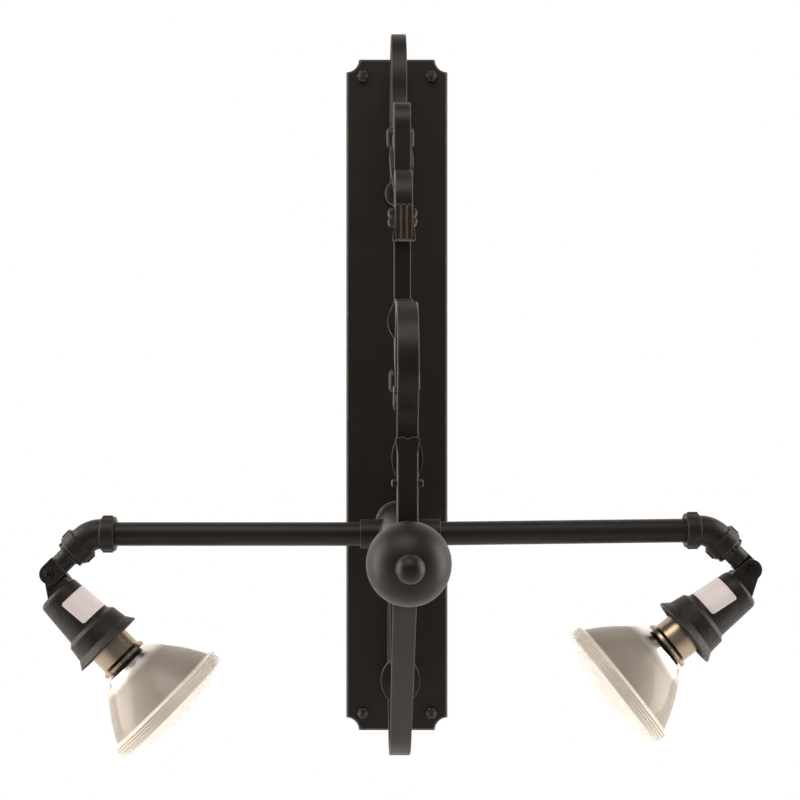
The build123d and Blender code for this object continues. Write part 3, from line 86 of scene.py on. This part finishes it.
class Finish:
    """A material whose nodes are added by short calls.

    Textures use object space, which is the part's own frame, so noise scales count features per metre.
    """

    def __init__(self, name):
        self.material = bpy.data.materials.new(name)
        self.material.use_nodes = True
        self.tree = self.material.node_tree
        self.shader = self.tree.nodes["Principled BSDF"]
        self.place = self.add("ShaderNodeTexCoord").outputs["Object"]

    def add(self, kind, settings=None, **sockets):
        node = self.tree.nodes.new(kind)
        for key, value in (settings or {}).items():
            setattr(node, key, value)
        for key, value in sockets.items():
            self.feed(node, key.replace("_", " "), value)
        return node

    def feed(self, node, socket, value):
        """Links or sets a socket, given by its name or by its place written as text."""
        target = node.inputs[int(socket)] if socket.isdigit() else node.inputs[socket]
        if isinstance(value, bpy.types.NodeSocket):
            self.tree.links.new(value, target)
        else:
            target.default_value = value

    def set(self, **sockets):
        """Links or sets the shader's own sockets."""
        for key, value in sockets.items():
            self.feed(self.shader, key.replace("_", " "), value)

    def maths(self, operation, first, second=0.0, clamp=False):
        node = self.add("ShaderNodeMath", {"operation": operation, "use_clamp": clamp})
        self.feed(node, "0", first)
        self.feed(node, "1", second)
        return node.outputs[0]

    def vector_maths(self, operation, first, second):
        node = self.add("ShaderNodeVectorMath", {"operation": operation})
        self.feed(node, "0", first)
        self.feed(node, "1", second)
        return node

    def noise(self, scale, detail=3.0, roughness=0.55, vector=None):
        vector = vector or self.place
        node = self.add("ShaderNodeTexNoise", Vector=vector, Scale=scale, Detail=detail, Roughness=roughness)
        return node.outputs["Fac"]

    def cells(self, scale):
        return self.add("ShaderNodeTexVoronoi", Vector=self.place, Scale=scale).outputs["Distance"]

    def ramp(self, value, *stops):
        """Colours or greys along a value, each stop being (place, colour or grey)."""
        node = self.add("ShaderNodeValToRGB", Fac=value)
        elements = node.color_ramp.elements
        while len(elements) < len(stops):
            elements.new(0.5)
        for element, (position, colour) in zip(elements, stops):
            element.position = position
            grey = isinstance(colour, (int, float))
            element.color = (colour, colour, colour, 1.0) if grey else (*colour[:3], 1.0)
        return node.outputs["Color"]

    def tones(self, value, colour, darker, paler, start=0.3, end=0.7):
        """A linear colour that runs from darker to paler along a value."""
        low = [c * darker for c in colour]
        high = [min(1.0, c * paler) for c in colour]
        return self.ramp(value, (start, low), (end, high))

    def mix(self, share, first, second):
        node = self.add("ShaderNodeMix", {"data_type": "RGBA"})
        self.feed(node, MIX_SHARE, share)
        self.feed(node, MIX_FIRST, first)
        self.feed(node, MIX_SECOND, second)
        return node.outputs[MIX_RESULT]

    def between(self, value, low, high):
        """Rescales a 0 to 1 value into a range."""
        return self.add("ShaderNodeMapRange", Value=value, To_Min=low, To_Max=high).outputs["Result"]

    def bump(self, height, depth):
        """Bump whose depth is given in metres."""
        return self.add("ShaderNodeBump", Strength=1.0, Distance=depth, Height=height).outputs["Normal"]

    def edges(self, radius):
        """1 on edges and corners, 0 on open faces."""
        soft = self.add("ShaderNodeBevel", {"samples": EDGE_SAMPLES}, Radius=radius).outputs["Normal"]
        flat = self.add("ShaderNodeNewGeometry").outputs["Normal"]
        likeness = self.vector_maths("DOT_PRODUCT", soft, flat).outputs["Value"]
        return self.maths("MULTIPLY", self.maths("SUBTRACT", 1.0, likeness), EDGE_GAIN, clamp=True)

    def along(self, origin, direction):
        """Distance in metres from a point along a direction."""
        away = self.vector_maths("SUBTRACT", self.place, origin).outputs["Vector"]
        return self.vector_maths("DOT_PRODUCT", away, direction).outputs["Value"]

    def step(self, value, start, end):
        """0 before start, 1 after end, and smooth between."""
        node = self.add("ShaderNodeMapRange", {"interpolation_type": "SMOOTHSTEP"}, Value=value)
        self.feed(node, "From Min", start)
        self.feed(node, "From Max", end)
        return node.outputs["Result"]


def wear(nodes, finish):
    """Gives pieces of the part their only material."""
    for name in nodes:
        mesh = frame["nodes"][name].data
        mesh.materials.clear()
        mesh.materials.append(finish.material)


# ---------------------------------------------------------------- settings
def colour_property(name, description, default):
    return FloatVectorProperty(
        name=name, description=description, default=default, subtype="COLOR", min=0, max=1
    )


def length_property(name, description, default):
    return FloatProperty(name=name, description=description, default=default, unit="LENGTH", min=0)


def power_property(name, description, default):
    return FloatProperty(name=name, description=description, default=default, unit="POWER")


class CoatSettings(bpy.types.PropertyGroup):
    iron_colour: colour_property("Iron coat", "Powder coat of plate, boom and bracket", (0.080, 0.064, 0.052))
    cast_colour: colour_property("Cast coat", "Paint of elbows and lampholders", (0.058, 0.047, 0.040))
    # Edge colour and edge width make the paler band mixed in along every edge: partly thin worn coat, partly
    # painted highlight where edges catch the light
    edge_highlight_and_wear_colour: colour_property("Edge", "Thin coat along edges", (0.62, 0.55, 0.48))
    grain: length_property("Grain", "Height of the powder coat's texture", 0.00006)
    cast_grain: length_property("Cast skin", "Height of the casting's skin", 0.0006)
    edge_width: length_property("Edge width", "Width of the thin coat along edges", 0.0011)


class BulbSettings(bpy.types.PropertyGroup):
    silver_colour: colour_property("Silvering", "Satin silver of the reflector", (0.60, 0.575, 0.545))
    skirt_colour: colour_property("Skirt", "Pressed skirt and its tabs", (0.66, 0.60, 0.53))
    lens_colour: colour_property("Lens", "Stippled front glass", (0.97, 0.95, 0.92))
    rim_colour: colour_property("Rim", "Clear glass of the rim", (0.82, 0.79, 0.75))
    label_colour: colour_property("Label", "Blank label", (0.86, 0.83, 0.84))


class StageSettings(bpy.types.PropertyGroup):
    camera_place: FloatVectorProperty(
        name="Camera", description="Camera's place", default=(-0.029, -1.424, 0.1008), subtype="TRANSLATION"
    )
    focal_pixels: FloatProperty(name="Focal length", description="In pixels of the photograph", default=1400.0)
    world_strength: FloatProperty(
        name="Surround", description="Strength at which the surround lights the part", default=0.26, min=0
    )
    rim_power: power_property("Side lights", "Power of each side light", 30.0)
    key_power: power_property("Key light", "Power of the upper light", 20.0)


# ---------------------------------------------------------------- coats
POWDER_TONE_SCALE = 9.0
POWDER_TONES = (0.82, 1.22)
# Patch scale and shares of the painted highlight and wear along the powder coat's edges
POWDER_HIGHLIGHT_AND_WEAR_SCALE = 60.0
POWDER_HIGHLIGHT_AND_WEAR_SHARES = (0.45, 1.0)
POWDER_GLOSS_SCALE = 35.0
POWDER_ROUGHNESS = (0.36, 0.52)
POWDER_EDGE_POLISH = 0.08
POWDER_SPECULAR = 0.28
POWDER_FINE_SCALE = 1900.0
POWDER_COARSE_SCALE = 520.0
POWDER_COARSE_SHARE = 0.7

CAST_TONE_SCALE = 22.0
CAST_TONES = (0.75, 1.35)
CAST_TONE_END = 0.72
# Patch scale and shares of the painted highlight and wear along the cast coat's edges
CAST_HIGHLIGHT_AND_WEAR_SCALE = 90.0
CAST_HIGHLIGHT_AND_WEAR_SHARES = (0.0, 0.55)
CAST_GLOSS_SCALE = 140.0
CAST_ROUGHNESS = (0.34, 0.56)
CAST_SPECULAR = 0.32
CAST_SKIN_SCALE = 430.0
CAST_SKIN_ROUGHNESS = 0.65
CAST_LUMP_SCALE = 95.0
CAST_LUMP_SHARE = 1.4
CAST_PIT_SCALE = 300.0
CAST_PIT_EDGE = (0.05, 0.22)
CAST_PIT_SHARE = 0.5
ELBOW_GRAIN_SHARE = 0.5

METAL_LINE_SCALE = 160.0
METAL_LINE_STRETCH = (1.0, 1.0, 14.0)
METAL_LINE_DEPTH = 0.00002
METAL_PATCH_SCALE = 26.0
METAL_TONES = (0.8, 1.0)
METAL_TONE_END = 0.65
METAL_ROUGHNESS_SPREAD = (0.7, 1.5)

MOULDED_TONE_SCALE = 40.0
MOULDED_GLOSS_SCALE = 120.0
MOULDED_ROUGHNESS_SPREAD = (0.85, 1.15)

# Colour as a screen shows it, and roughness
METALS = {
    "black_screws": ((0.22, 0.21, 0.20), 0.32),
    "zinc_plate": ((0.74, 0.74, 0.71), 0.36),
    "brass": ((0.80, 0.64, 0.36), 0.28),
    "base_shell": ((0.84, 0.83, 0.80), 0.26),
}
SKIRT_ROUGHNESS = 0.24

# Colour, roughness and, where they differ from a moulding's, bump depth, bump scale and tone spread
MOULDINGS = {
    "black_nylon": ((0.10, 0.10, 0.10), 0.5),
    "porcelain": ((0.90, 0.88, 0.83), 0.22, 0.00001, 200.0, 0.04),
    "gasket_rubber": ((0.12, 0.12, 0.12), 0.75),
    "base_glass": ((0.10, 0.10, 0.11), 0.15, 0.00001, 300.0),
}
LABEL_SURFACE = (0.42, 0.00001, 900.0, 0.03)


def paint_edge_highlight_and_wear(coat, tone, edge, edge_highlight_and_wear_colour, scale, shares):
    """Lets the paler edge colour through in patches along the edges: partly worn coat, partly a painted
    highlight where the edges catch the light.
    """
    highlight_and_wear_share = coat.maths("MULTIPLY", edge, coat.between(coat.noise(scale), *shares), clamp=True)
    coat.set(Base_Color=coat.mix(highlight_and_wear_share, tone, opaque(edge_highlight_and_wear_colour)))


def powder_coat(name, colour, grain, edge_highlight_and_wear_colour, edge_width):
    """Fine-textured satin powder coat, smoother along edges and paler there, the paler edge colour being
    partly worn coat and partly painted highlight.
    """
    coat = Finish(name)
    mottle = coat.tones(coat.noise(POWDER_TONE_SCALE, detail=4.0), linear(colour), *POWDER_TONES)
    edge = coat.edges(edge_width)
    # Painted highlight and wear: paler edge colour in patches along every edge
    paint_edge_highlight_and_wear(coat, mottle, edge, edge_highlight_and_wear_colour, POWDER_HIGHLIGHT_AND_WEAR_SCALE, POWDER_HIGHLIGHT_AND_WEAR_SHARES)
    satin = coat.between(coat.noise(POWDER_GLOSS_SCALE, detail=5.0), *POWDER_ROUGHNESS)
    polish = coat.maths("MULTIPLY", edge, POWDER_EDGE_POLISH)
    coat.set(Roughness=coat.maths("SUBTRACT", satin, polish), Specular_IOR_Level=POWDER_SPECULAR)
    coarse = coat.maths("MULTIPLY", coat.noise(POWDER_COARSE_SCALE, detail=2.0), POWDER_COARSE_SHARE)
    skin = coat.maths("ADD", coat.noise(POWDER_FINE_SCALE, detail=2.0), coarse)
    coat.set(Normal=coat.bump(skin, grain))
    return coat


def cast_coat(name, colour, grain, edge_highlight_and_wear_colour, edge_width):
    """Black paint over a sand-cast skin, with pits and soft lumps."""
    coat = Finish(name)
    patches = coat.noise(CAST_TONE_SCALE, detail=5.0)
    tone = coat.tones(patches, linear(colour), *CAST_TONES, end=CAST_TONE_END)
    # Painted highlight and wear: paler edge colour in patches along every edge of the casting
    paint_edge_highlight_and_wear(coat, tone, coat.edges(edge_width), edge_highlight_and_wear_colour, CAST_HIGHLIGHT_AND_WEAR_SCALE, CAST_HIGHLIGHT_AND_WEAR_SHARES)
    satin = coat.between(coat.noise(CAST_GLOSS_SCALE, detail=4.0), *CAST_ROUGHNESS)
    coat.set(Roughness=satin, Specular_IOR_Level=CAST_SPECULAR)
    sand = coat.noise(CAST_SKIN_SCALE, detail=4.0, roughness=CAST_SKIN_ROUGHNESS)
    lumps = coat.maths("MULTIPLY", coat.noise(CAST_LUMP_SCALE), CAST_LUMP_SHARE)
    pits = coat.ramp(coat.cells(CAST_PIT_SCALE), (CAST_PIT_EDGE[0], 0.0), (CAST_PIT_EDGE[1], 1.0))
    skin = coat.maths("ADD", coat.maths("ADD", sand, lumps), coat.maths("MULTIPLY", pits, CAST_PIT_SHARE))
    coat.set(Normal=coat.bump(skin, grain))
    return coat


def rolled_metal(name, colour, roughness):
    """Bare or plated metal with fine drawn lines and slightly duller patches."""
    metal = Finish(name)
    mapping = metal.add("ShaderNodeMapping", Vector=metal.place, Scale=METAL_LINE_STRETCH)
    lines = metal.noise(METAL_LINE_SCALE, detail=4.0, vector=mapping.outputs["Vector"])
    patches = metal.noise(METAL_PATCH_SCALE, detail=4.0)
    tone = metal.tones(patches, linear(colour), *METAL_TONES, end=METAL_TONE_END)
    metal.set(Base_Color=tone, Metallic=1.0)
    low, high = (roughness * share for share in METAL_ROUGHNESS_SPREAD)
    metal.set(Roughness=metal.between(metal.mix(0.5, lines, patches), low, high))
    metal.set(Normal=metal.bump(lines, METAL_LINE_DEPTH))
    return metal


def moulded(name, colour, roughness, depth=0.00003, scale=700.0, spread=0.12):
    """Moulded, glazed or rubber surface with faint tone changes."""
    skin = Finish(name)
    patches = skin.noise(MOULDED_TONE_SCALE, detail=4.0)
    skin.set(Base_Color=skin.tones(patches, linear(colour), 1 - spread, 1 + spread))
    low, high = (roughness * share for share in MOULDED_ROUGHNESS_SPREAD)
    skin.set(Roughness=skin.between(skin.noise(MOULDED_GLOSS_SCALE), low, high))
    skin.set(Normal=skin.bump(skin.noise(scale, detail=2.0), depth))
    return skin


def bare(names, metal):
    wear(names, rolled_metal(metal, *METALS[metal]))


def mould(names, moulding):
    wear(names, moulded(moulding, *MOULDINGS[moulding]))


class FinishOperator:
    """What the operators that finish pieces share."""

    bl_options = {"REGISTER", "UNDO"}

    def coat(self, context, maker, name, nodes, colour, grain):
        settings = context.scene.wall_light_coat
        wear(nodes, maker(name, colour, grain, settings.edge_highlight_and_wear_colour, settings.edge_width))


class WALLLIGHT_OT_coat_ironwork(FinishOperator, bpy.types.Operator):
    """Coat the plate, the boom, the finial and every bar of the bracket"""

    bl_idname = "wall_light.coat_ironwork"
    bl_label = "Coat Ironwork"

    def execute(self, context):
        settings = context.scene.wall_light_coat
        self.coat(context, powder_coat, "iron_coat", IRONWORK, settings.iron_colour, settings.grain)
        return {"FINISHED"}


class WALLLIGHT_OT_coat_pipework(FinishOperator, bpy.types.Operator):
    """Coat the arms' collars and pipes, and the cast elbows, stems and locknuts"""

    bl_idname = "wall_light.coat_pipework"
    bl_label = "Coat Pipework"

    def execute(self, context):
        settings = context.scene.wall_light_coat
        self.coat(context, powder_coat, "pipe_coat", both(PIPEWORK), settings.iron_colour, settings.grain)
        elbow_grain = settings.cast_grain * ELBOW_GRAIN_SHARE
        self.coat(context, cast_coat, "elbow_coat", both(CASTINGS), settings.cast_colour, elbow_grain)
        return {"FINISHED"}


class WALLLIGHT_OT_coat_lampholders(FinishOperator, bpy.types.Operator):
    """Paint the cast lampholders and blacken the screws and nuts of their knuckles"""

    bl_idname = "wall_light.coat_lampholders"
    bl_label = "Coat Lampholders"

    def execute(self, context):
        settings = context.scene.wall_light_coat
        pieces = both(("lampholder",))
        self.coat(context, cast_coat, "lampholder_coat", pieces, settings.cast_colour, settings.cast_grain)
        bare(both(KNUCKLE_SCREWS), "black_screws")
        return {"FINISHED"}


class WALLLIGHT_OT_finish_hardware(FinishOperator, bpy.types.Operator):
    """Finish the wall bracket, studs, screws, bushing and the insides of the lampholders"""

    bl_idname = "wall_light.finish_hardware"
    bl_label = "Finish Hidden Hardware"

    def execute(self, context):
        bare(ZINC_PIECES, "zinc_plate")
        bare(both(BRASS_PIECES), "brass")
        mould(["wire_bushing"], "black_nylon")
        mould(both(("socket_insulator",)), "porcelain")
        mould(both(("mouth_gasket",)), "gasket_rubber")
        return {"FINISHED"}


class WALLLIGHT_OT_finish_labels(FinishOperator, bpy.types.Operator):
    """Finish the blank labels on the lampholders"""

    bl_idname = "wall_light.finish_labels"
    bl_label = "Finish Labels"

    def execute(self, context):
        colour = context.scene.wall_light_bulb.label_colour
        wear(both(("blank_label",)), moulded("label_film", colour, *LABEL_SURFACE))
        return {"FINISHED"}


# ---------------------------------------------------------------- bulbs
# Heights along a bulb's axis, from its knuckle, in metres
GLASS_NECK_END = 0.108
CHROME_END = 0.119
RIM_START = 0.1495
RIM_BLEND = 0.0012
LENS_START = 0.1595
CROWN_START = LENS_START + 0.002
CROWN_END = LENS_START + 0.0055

NECK_SILVER = (0.70, 0.68, 0.65, 1.0)
BOWL_TONE_SCALE = 14.0
BOWL_TONES = (0.86, 1.08)
BOWL_METAL_LOSS = 0.3
RIM_METAL_LOSS = 0.6
BOWL_FROST_SCALE = 90.0
BOWL_FROST = (0.50, 0.58)
NECK_ROUGHNESS = 0.16
RIM_POLISH = 0.2
RIM_RINGS = 2600.0
RIPPLE_SCALE = 45.0
RIPPLE_SHARE = 0.12
RING_DEPTH = 0.0003
BOWL_COAT = {"Coat_Weight": 0.35, "Coat_Roughness": 0.12, "Coat_IOR": 1.5}

HAZE_SCALE = 30.0
HAZE_TONES = (0.93, 1.0)
HAZE_ENDS = {"start": 0.25, "end": 0.75}
LENS_GLOSS_SCALE = 200.0
LENS_ROUGHNESS = (0.16, 0.30)
LENS_DEPTH = {"Subsurface_Weight": 0.25, "Subsurface_Scale": 0.006, "Subsurface_Radius": (1.0, 0.95, 0.85)}
LENS_COAT = {"Coat_Weight": 0.8, "Coat_Roughness": 0.05}
STIPPLE_SCALE = 520.0
STIPPLE_WIDTH = 0.6
STIPPLE_DEPTH = 0.0004

CAPSULE_COLOUR = (0.95, 0.94, 0.92)
CAPSULE_TONE_SCALE = 60.0
CAPSULE_TONES = (0.92, 1.0)
CAPSULE_GLOSS_SCALE = 150.0
CAPSULE_ROUGHNESS = 0.08
CAPSULE_ROUGHNESS_SPREAD = (0.6, 1.6)
CAPSULE_BODY = {"Transmission_Weight": 0.85, "IOR": 1.46}


def lamp_axis(side):
    """Pivot and direction of a lamp at rest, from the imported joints."""
    joints = {joint["name"]: joint for joint in frame["record"]["behaviour"]["joints"]}
    pivot = joints[f"{side}_tilt"]["pos_m"]
    return tuple(pivot), tuple(joints[f"{side}_bulb_out"]["axis"])


def reflector_glass(side, settings):
    """Silvered glass: mirror-bright at the neck, satin over the bowl, clear and ringed at the rim."""
    glass = Finish(f"{side}_silvered_glass")
    height = glass.along(*lamp_axis(side))
    satin = glass.step(height, GLASS_NECK_END, CHROME_END)
    rim = glass.step(height, RIM_START, RIM_START + RIM_BLEND)

    patches = glass.noise(BOWL_TONE_SCALE, detail=4.0)
    bowl = glass.tones(patches, linear(settings.silver_colour), *BOWL_TONES)
    silver = glass.mix(satin, NECK_SILVER, bowl)
    glass.set(Base_Color=glass.mix(rim, silver, opaque(settings.rim_colour)))

    silvered = glass.maths("SUBTRACT", 1.0, glass.maths("MULTIPLY", satin, BOWL_METAL_LOSS))
    bare_rim = glass.maths("MULTIPLY", rim, RIM_METAL_LOSS)
    glass.set(Metallic=glass.maths("SUBTRACT", silvered, bare_rim, clamp=True))

    frost = glass.maths("MULTIPLY", satin, glass.between(glass.noise(BOWL_FROST_SCALE), *BOWL_FROST))
    sheen = glass.maths("ADD", frost, NECK_ROUGHNESS)
    polish = glass.maths("MULTIPLY", rim, RIM_POLISH)
    glass.set(Roughness=glass.maths("SUBTRACT", sheen, polish, clamp=True), **BOWL_COAT)

    rings = glass.maths("SINE", glass.maths("MULTIPLY", height, RIM_RINGS))
    ripple = glass.maths("MULTIPLY", glass.noise(RIPPLE_SCALE, detail=2.0), RIPPLE_SHARE)
    shape = glass.maths("ADD", glass.maths("MULTIPLY", rings, rim), ripple)
    glass.set(Normal=glass.bump(shape, RING_DEPTH))
    return glass


def lens_glass(side, settings):
    """Frosted front glass with a fine stipple over its crown and a smooth edge."""
    glass = Finish(f"{side}_lens_glass")
    height = glass.along(*lamp_axis(side))
    crown = glass.step(height, CROWN_START, CROWN_END)
    haze = glass.tones(glass.noise(HAZE_SCALE), linear(settings.lens_colour), *HAZE_TONES, **HAZE_ENDS)
    glass.set(Base_Color=glass.mix(crown, opaque(settings.rim_colour), haze))
    gloss = glass.between(glass.noise(LENS_GLOSS_SCALE, detail=2.0), *LENS_ROUGHNESS)
    glass.set(Roughness=gloss, **LENS_DEPTH, **LENS_COAT)
    stipple = glass.ramp(glass.cells(STIPPLE_SCALE), (0.0, 0.0), (STIPPLE_WIDTH, 1.0))
    glass.set(Normal=glass.bump(glass.maths("MULTIPLY", stipple, crown), STIPPLE_DEPTH))
    return glass


def capsule_glass():
    """Clear glass of the small lamp inside each reflector."""
    glass = Finish("capsule_glass")
    patches = glass.noise(CAPSULE_TONE_SCALE)
    glass.set(Base_Color=glass.tones(patches, linear(CAPSULE_COLOUR), *CAPSULE_TONES))
    low, high = (CAPSULE_ROUGHNESS * share for share in CAPSULE_ROUGHNESS_SPREAD)
    glass.set(Roughness=glass.between(glass.noise(CAPSULE_GLOSS_SCALE), low, high), **CAPSULE_BODY)
    return glass


class WALLLIGHT_OT_finish_bulbs(FinishOperator, bpy.types.Operator):
    """Finish the bulbs' bases, skirts, reflectors, lenses and capsules"""

    bl_idname = "wall_light.finish_bulbs"
    bl_label = "Finish Bulbs"

    def execute(self, context):
        settings = context.scene.wall_light_bulb
        bare(both(("bulb_base",)), "base_shell")
        wear(both(("bulb_skirt",)), rolled_metal("crimped_skirt", settings.skirt_colour, SKIRT_ROUGHNESS))
        mould(both(("bulb_insulator",)), "base_glass")
        wear(both(("bulb_capsule",)), capsule_glass())
        for side in SIDES:
            wear([f"{side}_bulb_reflector"], reflector_glass(side, settings))
            wear([f"{side}_bulb_lens"], lens_glass(side, settings))
        return {"FINISHED"}


# ---------------------------------------------------------------- stage
# The photograph is 800 pixels square. The vanishing point is where lines square to the wall meet in it.
IMAGE_SIZE = 800
SENSOR_WIDTH = 36.0
VANISHING_POINT = (368, 422)

FLOOR_DROP = 0.35
BACKDROP_GAP = 0.6
STAGE_REACH = 6.0
STAGE_PAINT = (0.82, 0.82, 0.82, 1.0)
STAGE_ROUGHNESS = 0.9
# Shares of plain white that the camera sees. The rest keeps the part's shadow on the floor.
FLOOR_WHITE = 0.85
BACKDROP_WHITE = 1.0

LIT_MIDDLE = (0.0, -0.2, 0.1)
SIDE_LIGHT_REACH = 1.5
SIDE_LIGHT_PLACE = (-0.15, 0.25)
SIDE_LIGHT_SIZE = (0.8, 1.8)
SIDE_LIGHT_COLOUR = (1.0, 0.92, 0.84)
UPPER_LIGHT_PLACE = (-0.3, -1.1, 1.6)
UPPER_LIGHT_SIZE = (1.6, 1.0)
UPPER_LIGHT_COLOUR = (1.0, 0.88, 0.78)


def pale_material(name, white_share):
    """Plain pale paint that the camera alone sees as white, by the share given."""
    material = bpy.data.materials.new(name)
    material.use_nodes = True
    nodes, links = material.node_tree.nodes, material.node_tree.links
    surface = nodes["Principled BSDF"]
    surface.inputs["Base Color"].default_value = STAGE_PAINT
    surface.inputs["Roughness"].default_value = STAGE_ROUGHNESS
    white = nodes.new("ShaderNodeEmission")
    path = nodes.new("ShaderNodeLightPath")
    share = nodes.new("ShaderNodeMath")
    share.operation = "MULTIPLY"
    share.inputs[1].default_value = white_share
    links.new(path.outputs["Is Camera Ray"], share.inputs[0])
    blend = nodes.new("ShaderNodeMixShader")
    links.new(share.outputs[0], blend.inputs[0])
    links.new(surface.outputs[0], blend.inputs[1])
    links.new(white.outputs[0], blend.inputs[2])
    links.new(blend.outputs[0], nodes["Material Output"].inputs["Surface"])
    return material


def stage_sheet(name, corners, material, seen=True):
    """A sheet of the stage. One that the camera doesn't see still catches and returns light."""
    mesh = bpy.data.meshes.new(name)
    mesh.from_pydata(corners, [], [(0, 1, 2, 3)])
    mesh.materials.append(material)
    sheet = bpy.data.objects.new(name, mesh)
    sheet.visible_camera = seen
    bpy.context.scene.collection.objects.link(sheet)


def white_surround(strength):
    """A world that the camera sees as white and that lights the part at the given strength."""
    world = bpy.data.worlds.new("surround")
    world.use_nodes = True
    nodes, links = world.node_tree.nodes, world.node_tree.links
    background = nodes["Background"]
    background.inputs["Color"].default_value = (1.0, 1.0, 1.0, 1.0)
    path = nodes.new("ShaderNodeLightPath")
    level = nodes.new("ShaderNodeMath")
    level.operation = "MULTIPLY_ADD"
    level.inputs[1].default_value = 1.0 - strength
    level.inputs[2].default_value = strength
    links.new(path.outputs["Is Camera Ray"], level.inputs[0])
    links.new(level.outputs[0], background.inputs["Strength"])
    return world


def area_light(name, place, size, power, colour):
    """A soft rectangular light that faces the part's middle."""
    light = bpy.data.lights.new(name, "AREA")
    light.shape = "RECTANGLE"
    light.size, light.size_y = size
    light.energy = power
    light.color = colour
    lamp = bpy.data.objects.new(name, light)
    lamp.location = place
    lamp.rotation_euler = (Vector(LIT_MIDDLE) - Vector(place)).to_track_quat("-Z", "Y").to_euler()
    bpy.context.scene.collection.objects.link(lamp)


def photo_camera(settings):
    """A camera square to the wall, shifted so that the photograph's frame comes out."""
    camera = bpy.data.cameras.new("photo_camera")
    camera.sensor_width = SENSOR_WIDTH
    camera.lens = settings.focal_pixels * SENSOR_WIDTH / IMAGE_SIZE
    camera.shift_x = (IMAGE_SIZE / 2 - VANISHING_POINT[0]) / IMAGE_SIZE
    camera.shift_y = (VANISHING_POINT[1] - IMAGE_SIZE / 2) / IMAGE_SIZE
    viewer = bpy.data.objects.new("photo_camera", camera)
    viewer.location = settings.camera_place
    viewer.rotation_euler = (math.radians(90), 0, 0)
    bpy.context.scene.collection.objects.link(viewer)
    return viewer


class WALLLIGHT_OT_set_stage(bpy.types.Operator):
    """Add the floor, the backdrop, the lights and the camera"""

    bl_idname = "wall_light.set_stage"
    bl_label = "Set Stage"
    bl_options = {"REGISTER", "UNDO"}

    def execute(self, context):
        scene = context.scene
        settings = scene.wall_light_stage
        low, high = (Vector(corner) for corner in CAD_BOX)
        floor, back, reach = low.z - FLOOR_DROP, high.y + BACKDROP_GAP, STAGE_REACH
        flat = [(-reach, -reach, floor), (reach, -reach, floor), (reach, back, floor), (-reach, back, floor)]
        wall = [(-reach, back, floor), (reach, back, floor), (reach, back, reach), (-reach, back, reach)]
        stage_sheet("floor", flat, pale_material("floor_paint", FLOOR_WHITE))
        # The camera looks through the backdrop, so that the part also shows from behind
        stage_sheet("backdrop", wall, pale_material("backdrop_paint", BACKDROP_WHITE), seen=False)
        scene.world = white_surround(settings.world_strength)

        for side, across in zip(SIDES, (-SIDE_LIGHT_REACH, SIDE_LIGHT_REACH)):
            place = (across, *SIDE_LIGHT_PLACE)
            area_light(f"{side}_light", place, SIDE_LIGHT_SIZE, settings.rim_power, SIDE_LIGHT_COLOUR)
        area_light("upper_light", UPPER_LIGHT_PLACE, UPPER_LIGHT_SIZE, settings.key_power, UPPER_LIGHT_COLOUR)

        scene.camera = photo_camera(settings)
        scene.view_settings.view_transform = "Standard"
        return {"FINISHED"}


# ---------------------------------------------------------------- add-on
SETTINGS = {
    "wall_light_coat": CoatSettings,
    "wall_light_bulb": BulbSettings,
    "wall_light_stage": StageSettings,
}
OPERATORS = (
    WALLLIGHT_OT_coat_ironwork,
    WALLLIGHT_OT_coat_pipework,
    WALLLIGHT_OT_coat_lampholders,
    WALLLIGHT_OT_finish_hardware,
    WALLLIGHT_OT_finish_labels,
    WALLLIGHT_OT_finish_bulbs,
    WALLLIGHT_OT_set_stage,
)


class WALLLIGHT_PT_finishes(bpy.types.Panel):
    """Sidebar panel with the wall light's finishes"""

    bl_idname = "WALLLIGHT_PT_finishes"
    bl_label = "Wall Light"
    bl_space_type = "VIEW_3D"
    bl_region_type = "UI"
    bl_category = "Wall Light"

    def draw(self, context):
        layout = self.layout
        for group in SETTINGS:
            settings = getattr(context.scene, group)
            column = layout.column()
            for key in settings.__annotations__:
                column.prop(settings, key)
        for operator in OPERATORS:
            layout.operator(operator.bl_idname)


def register():
    for key, settings in SETTINGS.items():
        bpy.utils.register_class(settings)
        setattr(bpy.types.Scene, key, PointerProperty(type=settings))
    for operator in OPERATORS:
        bpy.utils.register_class(operator)
    bpy.utils.register_class(WALLLIGHT_PT_finishes)


def unregister():
    bpy.utils.unregister_class(WALLLIGHT_PT_finishes)
    for operator in reversed(OPERATORS):
        bpy.utils.unregister_class(operator)
    for key, settings in reversed(SETTINGS.items()):
        delattr(bpy.types.Scene, key)
        bpy.utils.unregister_class(settings)


def main():
    register()
    bpy.ops.wall_light.coat_ironwork()
    bpy.ops.wall_light.coat_pipework()
    bpy.ops.wall_light.coat_lampholders()
    bpy.ops.wall_light.finish_hardware()
    bpy.ops.wall_light.finish_labels()
    bpy.ops.wall_light.finish_bulbs()
    bpy.ops.wall_light.set_stage()


if __name__ == "__main__":
    main()
